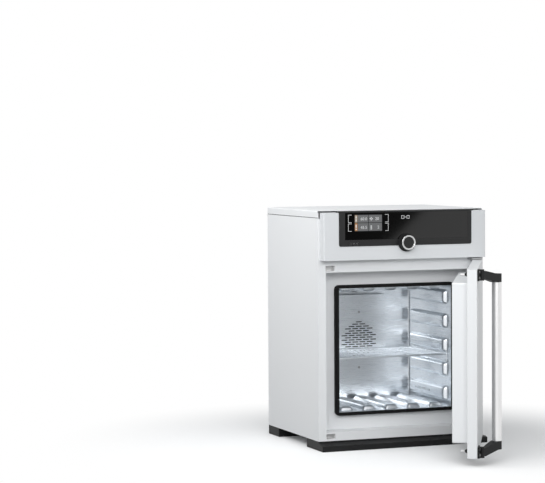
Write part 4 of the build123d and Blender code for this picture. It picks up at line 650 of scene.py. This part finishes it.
button_marks = bmesh.new()
bar = rounded_outline(BAR_LEFT, BUTTON_Z - BAR_HALF_HEIGHT, BAR_RIGHT, BUTTON_Z + BAR_HALF_HEIGHT,
                      BAR_CORNER, FEW_STEPS)
add_outline(button_marks, bar, *BUTTON_DEPTHS)
add_ring(button_marks, square_outline(CIRCLE_X, BUTTON_Z, *CIRCLE_OUTER, MANY_STEPS),
         square_outline(CIRCLE_X, BUTTON_Z, *CIRCLE_INNER, MANY_STEPS), *BUTTON_DEPTHS)
add_outline(button_marks, square_outline(DOT_X, BUTTON_Z, *DOT, MANY_STEPS), *BUTTON_DEPTHS)
to_piece("button_marks", button_marks, "faint_ink", "power_button")
print("button marks made")

# %% [markdown]
# ## A black flag for the panel glass
# Glass shows what stands opposite it. Half of the panel is deep black and half a soft dark grey, parted by a
# slanting edge, because a black card, which a photographer calls a flag, stands in front of it out of the
# picture. We make the card too. Only mirrors may see it, so it casts no shadow and takes no light away. The
# metal of the chamber is a mirror as well and gets some of its darker tones from the card.

# %% Black flag
FLAG_Y = -1.885
FLAG_CORNERS = ((0.30, 0.50), (0.69, 0.50), (0.99, 0.76), (0.30, 0.76))


def sheet_object(name, corners):
    """A flat sheet between its corners, given in metres."""
    maker = bmesh.new()
    maker.faces.new([maker.verts.new(corner) for corner in corners])
    mesh = bpy.data.meshes.new(name)
    maker.to_mesh(mesh)
    maker.free()
    return new_object(name, mesh)


studio_flag = sheet_object("studio_flag", [(x, FLAG_Y, z) for x, z in FLAG_CORNERS])
flag_finish = bpy.data.materials.new("studio_flag")
flag_finish.use_nodes = True
flag_shader = flag_finish.node_tree.nodes["Principled BSDF"]
flag_shader.inputs["Base Color"].default_value = grey(0.0)
flag_shader.inputs["Specular IOR Level"].default_value = 0.0
studio_flag.data.materials.append(flag_finish)
for ray in ("visible_camera", "visible_diffuse", "visible_shadow", "visible_transmission"):
    setattr(studio_flag, ray, False)
print("flag stands", -FLAG_Y, "metres in front")

# %% [markdown]
# ## Pressed shelf pads
# The walls of the chamber are drawn in a press, and steel that is drawn never keeps a sharp edge. Each pad
# rises from the wall in a steep flank and rolls over a soft shoulder into its flat top. The CAD pads have plain
# flanks, which is right for their size but catches the light like cut card. A skin over each of them gives the
# rolled shoulder: rings of points climb the pad, and the last ring is closed by its flat.

# %% Pressed pads
PAD_HALF_WIDTH, PAD_HALF_LENGTH = 23.5, 140.0
PAD_MIDDLE_Y = 218.0
PAD_PLACES = (-160.0, -80.0, 0.0, 80.0, 160.0)
PAD_CORNER, PAD_CORNER_SHRINK = 9.0, 0.3
END_STRETCH = 13.0 / 9.75  # the CAD flank is 13 mm long at the pad's ends and 9.75 mm at its sides
CHAMBER_MIDDLE_Z, HALF_CHAMBER = 314.5, 200.0
PAD_FLANK = (  # distance in from the foot of the flank, height over the wall
    (-0.4, 0.1), (0.3, 1.2), (1.2, 3.0), (2.2, 5.0), (3.3, 7.2), (4.6, 9.2), (6.2, 10.9), (8.2, 12.0), (10.6, 12.4))


def add_pad(maker, placing, middle_x):
    """A pad's skin in the plane of its wall: x across, y along the chamber, z out of the wall."""
    rings = []
    for inset, height in PAD_FLANK:
        reach_x = PAD_HALF_WIDTH - inset
        reach_y = PAD_HALF_LENGTH - inset * END_STRETCH
        corner = PAD_CORNER - PAD_CORNER_SHRINK * inset
        outline = rounded_outline(-reach_x, -reach_y, reach_x, reach_y, corner, MANY_STEPS)
        points = [Vector(((x + middle_x) * MM, (y + PAD_MIDDLE_Y) * MM, height * MM)) for x, y in outline]
        rings.append([maker.verts.new(placing @ point) for point in points])
    for lower, upper in zip(rings, rings[1:]):
        bridge(maker, lower, upper)
    maker.faces.new(rings[-1])
    maker.faces.new(rings[0])


def on_wall(x, z, turn):
    """Places the plane of a pad on a wall of the chamber and turns it to face inwards."""
    return Matrix.Translation((x * MM, 0, z * MM)) @ Matrix.Rotation(math.radians(turn), 4, "Y")


WALL_PLACINGS = {
    "right_pads": on_wall(HALF_CHAMBER, CHAMBER_MIDDLE_Z, -90),
    "left_pads": on_wall(-HALF_CHAMBER, CHAMBER_MIDDLE_Z, 90),
    "floor_pads": on_wall(0, CHAMBER_MIDDLE_Z - HALF_CHAMBER, 0),
    "ceiling_pads": on_wall(0, CHAMBER_MIDDLE_Z + HALF_CHAMBER, 180),
}
for pads_name, placing in WALL_PLACINGS.items():
    pads = bmesh.new()
    for middle_x in PAD_PLACES:
        add_pad(pads, placing, middle_x)
    to_piece(pads_name, pads, "stainless", "cabinet", smooth=True)
print(len(WALL_PLACINGS) * len(PAD_PLACES), "pads")

# %% [markdown]
# ## Sensor slots and rear corners
# The lowest pad on the right has a row of slots for the sensor behind it. A slot in dark shade is a dark mark, so
# each is a thin black plate of painted shade a hair proud of the pad. The rear wall meets the side walls in a small
# cove, which catches a line of light and keeps the corner from looking like two cards.

# %% Sensor slots as plates of painted shade
SLOT_COUNT, SLOT_PITCH, SLOT_LENGTH = 12, 10.0, 2.8
SLOT_START_Y = 187.0
SLOT_LOW_Z, SLOT_HIGH_Z = 151.0, 158.0
SLOT_FRONT_X, SLOT_BACK_X = 187.54, 187.7

# Each black plate is painted shade for the dark inside one slot.
slots = bmesh.new()
for index in range(SLOT_COUNT):
    near = SLOT_START_Y + SLOT_PITCH * index
    add_box(slots, (SLOT_FRONT_X, near, SLOT_LOW_Z), (SLOT_BACK_X, near + SLOT_LENGTH, SLOT_HIGH_Z))
to_piece("sensor_slot_shades", slots, "black_moulding", "cabinet")
print(SLOT_COUNT, "sensor slots")

# %% Coved rear corners
CHAMBER_BACK_Y = 380.0
COVE_RADIUS = 5.0
COVE_LOW_Z, COVE_HIGH_Z = 114.6, 514.4
COVE_CORNER_INSET = 0.05
COVE_STEP = 15

coves = bmesh.new()
for side in (-1, 1):
    section = []
    for angle in map(math.radians, range(0, 91, COVE_STEP)):
        section.append((side * (HALF_CHAMBER - COVE_RADIUS * (1 - math.sin(angle))),
                        CHAMBER_BACK_Y - COVE_RADIUS * (1 - math.cos(angle))))
    section.append((side * (HALF_CHAMBER - COVE_CORNER_INSET), CHAMBER_BACK_Y - COVE_CORNER_INSET))
    close_prism(coves, *([add_point(coves, x, y, z) for x, y in section] for z in (COVE_LOW_Z, COVE_HIGH_Z)))
to_piece("rear_corner_coves", coves, "stainless", "cabinet")
print("coves made")

# %% [markdown]
# ## Gaps that read as lines
# A gap between two sheets is a line of shade. Some gaps are so narrow that the light finds its way to the bottom
# and the line is lost from afar, so a dark strip of painted shade lies in them to draw that line. The gap over
# the control panel is the other way round: there a painted flange lies right under the cover's edge. Behind the
# slots of the fan's grille a matt black disc of painted shade keeps them dark.

# %% Strips of painted shade in the seams, panel flange and the painted-shade disc behind the grille
STRIP_INNER_X, STRIP_OUTER_X = 290.2, 292.54
STRIP_FRONT_Y, STRIP_BACK_Y = 4.0, 449.0
STRIP_LOW_Z, STRIP_HIGH_Z = 746.5, 747.95
STRIP_EDGE, FLANGE_EDGE = 0.15, 0.3
FLANGE_LOW, FLANGE_HIGH = (-285.0, -0.4, 762.8), (285.0, 14.0, 764.0)
FAN_AXIS_Z = 317.0
GRILLE_SHADE_RADIUS = 66.0
GRILLE_SHADE_DEPTHS = (353.3, 353.8)
GRILLE_SHADE_STEP = 6

# The dark strips in the narrow cover seams are painted shade for the bottom of the gaps.
strips = bmesh.new()
for side in (-1, 1):
    near, far = sorted((side * STRIP_INNER_X, side * STRIP_OUTER_X))
    add_box(strips, (near, STRIP_FRONT_Y, STRIP_LOW_Z), (far, STRIP_BACK_Y, STRIP_HIGH_Z))
soften(strips, STRIP_EDGE)
to_piece("cover_seam_shade_strips", strips, "silicone_black", "cabinet")

flange = bmesh.new()
add_box(flange, FLANGE_LOW, FLANGE_HIGH)
soften(flange, FLANGE_EDGE)
to_piece("panel_top_flange", flange, "fascia_grey", "cabinet")

# The black disc is painted shade for the dark fan chamber behind the grille's slots.
grille_shade_disc = bmesh.new()
rim = [(GRILLE_SHADE_RADIUS * math.cos(angle), FAN_AXIS_Z + GRILLE_SHADE_RADIUS * math.sin(angle))
       for angle in map(math.radians, range(0, 360, GRILLE_SHADE_STEP))]
add_outline(grille_shade_disc, rim, *GRILLE_SHADE_DEPTHS)
to_piece("grille_shade_disc", grille_shade_disc, "black_moulding", "cabinet")
print("gaps dressed")

# %% [markdown]
# ## Screws
# The back of the cabinet and the baffle are held by button-head screws with a hexagon socket. A screw head is
# turned, so its rings are circles, except for the ring that bounds the socket: with 24 points round, each side
# of the hexagon takes four, and its corners fall exactly on points.

# %% Screws
AROUND = 24
HEAD_PROFILE = ((1.0, 0.0), (1.0, 0.35), (0.86, 0.78), (0.64, 1.0))  # shares of the radius and of the height
SOCKET_SHARE = 0.42
SOCKET_FLOOR = 0.3
CASING_BACK_Y, BAFFLE_FRONT_Y = 450.0, 352.0
CASING_HEAD_RADIUS, CASING_HEAD_HEIGHT = 4.0, 1.6
BAFFLE_HEAD_RADIUS, BAFFLE_HEAD_HEIGHT = 4.2, 1.8
CASING_SCREWS_Z = (60.0, 280.0, 500.0, 720.0)
BAFFLE_SCREWS_Z = (222.6, 411.0)


def add_screw(maker, x, z, base_y, outward, radius, head):
    """A button-head screw on a surface that faces along Y."""
    def ring(rise, reach_at):
        points = []
        for step in range(AROUND):
            angle = 2 * math.pi * step / AROUND
            reach = reach_at(angle)
            points.append(add_point(maker, x + reach * math.cos(angle), base_y + outward * rise * head,
                                    z + reach * math.sin(angle)))
        return points

    def hexagon(angle):
        return SOCKET_SHARE * radius / math.cos((angle % (math.pi / 3)) - math.pi / 6)

    rings = [ring(rise, lambda angle, share=share: share * radius) for share, rise in HEAD_PROFILE]
    rings += [ring(1.0, hexagon), ring(SOCKET_FLOOR, hexagon)]
    for lower, upper in zip(rings, rings[1:]):
        bridge(maker, lower, upper)
    maker.faces.new(rings[0])
    maker.faces.new(rings[-1])


screw_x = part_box("casing_screws")[1].x / MM - CASING_HEAD_RADIUS
screws = bmesh.new()
for side in (-1, 1):
    for z in CASING_SCREWS_Z:
        add_screw(screws, side * screw_x, z, CASING_BACK_Y, 1, CASING_HEAD_RADIUS, CASING_HEAD_HEIGHT)
casing_heads = to_piece("casing_screw_heads", screws, "steel", "cabinet")
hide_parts("casing_screws")

screws = bmesh.new()
for z in BAFFLE_SCREWS_Z:
    add_screw(screws, 0.0, z, BAFFLE_FRONT_Y, -1, BAFFLE_HEAD_RADIUS, BAFFLE_HEAD_HEIGHT)
baffle_heads = to_piece("baffle_screw_heads", screws, "steel", "cabinet")
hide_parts("baffle_screws")
print(2 * len(CASING_SCREWS_Z) + len(BAFFLE_SCREWS_Z), "screw heads")

# %% [markdown]
# ## The mains inlet
# The inlet at the back is the usual socket for an appliance cord. Its three flat contact blades stand in the
# recess: two level with each other and one between them, a little higher.

# %% Contact blades of the mains inlet
BLADE_PLACES = ((198.0, 87.5), (212.0, 87.5), (205.0, 92.0))
BLADE_HALF_WIDTH, BLADE_HALF_HEIGHT = 1.0, 2.0
BLADE_ROOT_Y, BLADE_TIP_Y = 432.0, 446.0
BLADE_EDGE = 0.3

blades = bmesh.new()
for x, z in BLADE_PLACES:
    add_box(blades, (x - BLADE_HALF_WIDTH, BLADE_ROOT_Y, z - BLADE_HALF_HEIGHT),
            (x + BLADE_HALF_WIDTH, BLADE_TIP_Y, z + BLADE_HALF_HEIGHT))
soften(blades, BLADE_EDGE)
to_piece("inlet_blades", blades, "shaft_steel", "cabinet")
print(len(BLADE_PLACES), "blades")

# %% [markdown]
# ## Background
# A white studio picture needs two things that fight each other: a background that is pure white, and a pale
# object that is not burnt out. So the background gets its white without lighting anything. The world shines
# white only towards the camera, mirrors and glass, and a dimmer sky does the lighting, brightest at the front
# left and dim behind the oven. How bright it is in a direction follows from the angle to the light.

# %% World
LIGHT_COMES_FROM = Vector((-0.58, -0.80, 0.10)).normalized()
SKY_BEHIND, SKY_TOWARDS_LIGHT = 0.14, 1.14
SKY_TINT = (0.965, 0.985, 1.0, 1.0)
WHITE = (1.0, 1.0, 1.0, 1.0)

world = bpy.data.worlds.new("studio_world")
bpy.context.scene.world = world
world.use_nodes = True
sky = world.node_tree
sky.nodes.clear()
seen_by = put(sky, "ShaderNodeLightPath")
camera_or_mirror = put(sky, "ShaderNodeMath", operation="MAXIMUM")
any_sight = put(sky, "ShaderNodeMath", operation="MAXIMUM")
direction = put(sky, "ShaderNodeTexCoord")
towards_light = put(sky, "ShaderNodeVectorMath", {1: LIGHT_COMES_FROM}, operation="DOT_PRODUCT")
strength = put(sky, "ShaderNodeMapRange",
               {"From Min": -1.0, "From Max": 1.0, "To Min": SKY_BEHIND, "To Max": SKY_TOWARDS_LIGHT})
lighting = put(sky, "ShaderNodeBackground", {"Color": SKY_TINT})
backdrop = put(sky, "ShaderNodeBackground", {"Color": WHITE, "Strength": 1.0})
choose = put(sky, "ShaderNodeMixShader")
world_out = put(sky, "ShaderNodeOutputWorld")
wire(sky, seen_by, "Is Camera Ray", camera_or_mirror, 0)
wire(sky, seen_by, "Is Glossy Ray", camera_or_mirror, 1)
wire(sky, camera_or_mirror, "Value", any_sight, 0)
wire(sky, seen_by, "Is Transmission Ray", any_sight, 1)
wire(sky, direction, "Generated", towards_light, 0)
wire(sky, towards_light, "Value", strength, "Value")
wire(sky, strength, "Result", lighting, "Strength")
wire(sky, any_sight, "Value", choose, 0)
wire(sky, lighting, "Background", choose, 1)
wire(sky, backdrop, "Background", choose, 2)
wire(sky, choose, "Shader", world_out, "Surface")
print("sky from", SKY_BEHIND, "to", SKY_TOWARDS_LIGHT)

# %% [markdown]
# ## Floor
# The floor is lit and takes the shadow near the oven, and turns into plain white further out. For the light that
# it throws back up it is grey, as a studio floor is beyond the paper sweep, which lets the lower parts of the
# cabinet fall off in tone.

# %% Floor
FLOOR_REACH = 60.0
WHITE_FROM, WHITE_AT = 0.5, 1.15
FLOOR_PAPER, FLOOR_BOUNCE = 0.93, 0.16
OVEN_MIDDLE = (0.0, 0.15, 0.0)

studio_floor = sheet_object("studio_floor", [(x * FLOOR_REACH, y * FLOOR_REACH, 0.0)
                                             for x, y in ((-1, -1), (1, -1), (1, 1), (-1, 1))])

floor_finish = bpy.data.materials.new("studio_floor")
floor_finish.use_nodes = True
ground = floor_finish.node_tree
ground.nodes.clear()
lit_paper = put(ground, "ShaderNodeBsdfDiffuse", {"Color": grey(FLOOR_PAPER)})
plain_white = put(ground, "ShaderNodeEmission", {"Color": WHITE, "Strength": 1.0})
dim_bounce = put(ground, "ShaderNodeBsdfDiffuse", {"Color": grey(FLOOR_BOUNCE)})
floor_place = put(ground, "ShaderNodeTexCoord")
from_oven = put(ground, "ShaderNodeVectorMath", {1: OVEN_MIDDLE}, operation="DISTANCE")
fade = put(ground, "ShaderNodeMapRange", {"From Min": WHITE_FROM, "From Max": WHITE_AT},
           interpolation_type="SMOOTHSTEP")
paper = put(ground, "ShaderNodeMixShader")
seen_by = put(ground, "ShaderNodeLightPath")
bounce_or_seen = put(ground, "ShaderNodeMixShader")
floor_out = put(ground, "ShaderNodeOutputMaterial")
wire(ground, floor_place, "Object", from_oven, 0)
wire(ground, from_oven, "Value", fade, "Value")
wire(ground, fade, "Result", paper, 0)
wire(ground, lit_paper, "BSDF", paper, 1)
wire(ground, plain_white, "Emission", paper, 2)
wire(ground, seen_by, "Is Diffuse Ray", bounce_or_seen, 0)
wire(ground, paper, "Shader", bounce_or_seen, 1)
wire(ground, dim_bounce, "BSDF", bounce_or_seen, 2)
wire(ground, bounce_or_seen, "Shader", floor_out, "Surface")
studio_floor.data.materials.append(floor_finish)
print("floor fades to white from", WHITE_FROM, "to", WHITE_AT, "metres")

# %% [markdown]
# ## Soft lamps
# Four soft boxes shape the oven over the even light of the sky. The key light from the left draws the line
# between the side and the front, the side light lifts the side panel, the front light reaches into the chamber,
# and a weak one from above keeps the floor from going grey. Large boxes give the soft shadows of a product
# picture.

# %% Soft lamps
LAMPS = (
    # name, place, aim, width, height, watts
    ("key_softbox", (-2.3, -2.0, 1.7), (0.0, 0.1, 0.5), 1.8, 1.4, 14.0),
    ("side_softbox", (-1.15, 0.1, 1.15), (-0.29, 0.2, 0.66), 0.9, 0.4, 4.6),
    ("front_softbox", (-0.6, -2.2, 1.35), (0.0, 0.0, 0.45), 1.4, 0.8, 19.0),
    ("floor_softbox", (-0.2, -1.3, 3.4), (0.0, -0.2, 0.0), 2.6, 2.6, 4.0),
)


def soft_lamp(name, place, aim, width, height, watts):
    """A rectangular soft box that points from one place to another."""
    lamp_data = bpy.data.lights.new(name, "AREA")
    lamp_data.shape = "RECTANGLE"
    lamp_data.size, lamp_data.size_y = width, height
    lamp_data.energy = watts
    lamp = new_object(name, lamp_data)
    pointing = (Vector(aim) - Vector(place)).to_track_quat("-Z", "Y")
    lamp.matrix_world = Matrix.Translation(place) @ pointing.to_matrix().to_4x4()


for lamp_values in LAMPS:
    soft_lamp(*lamp_values)
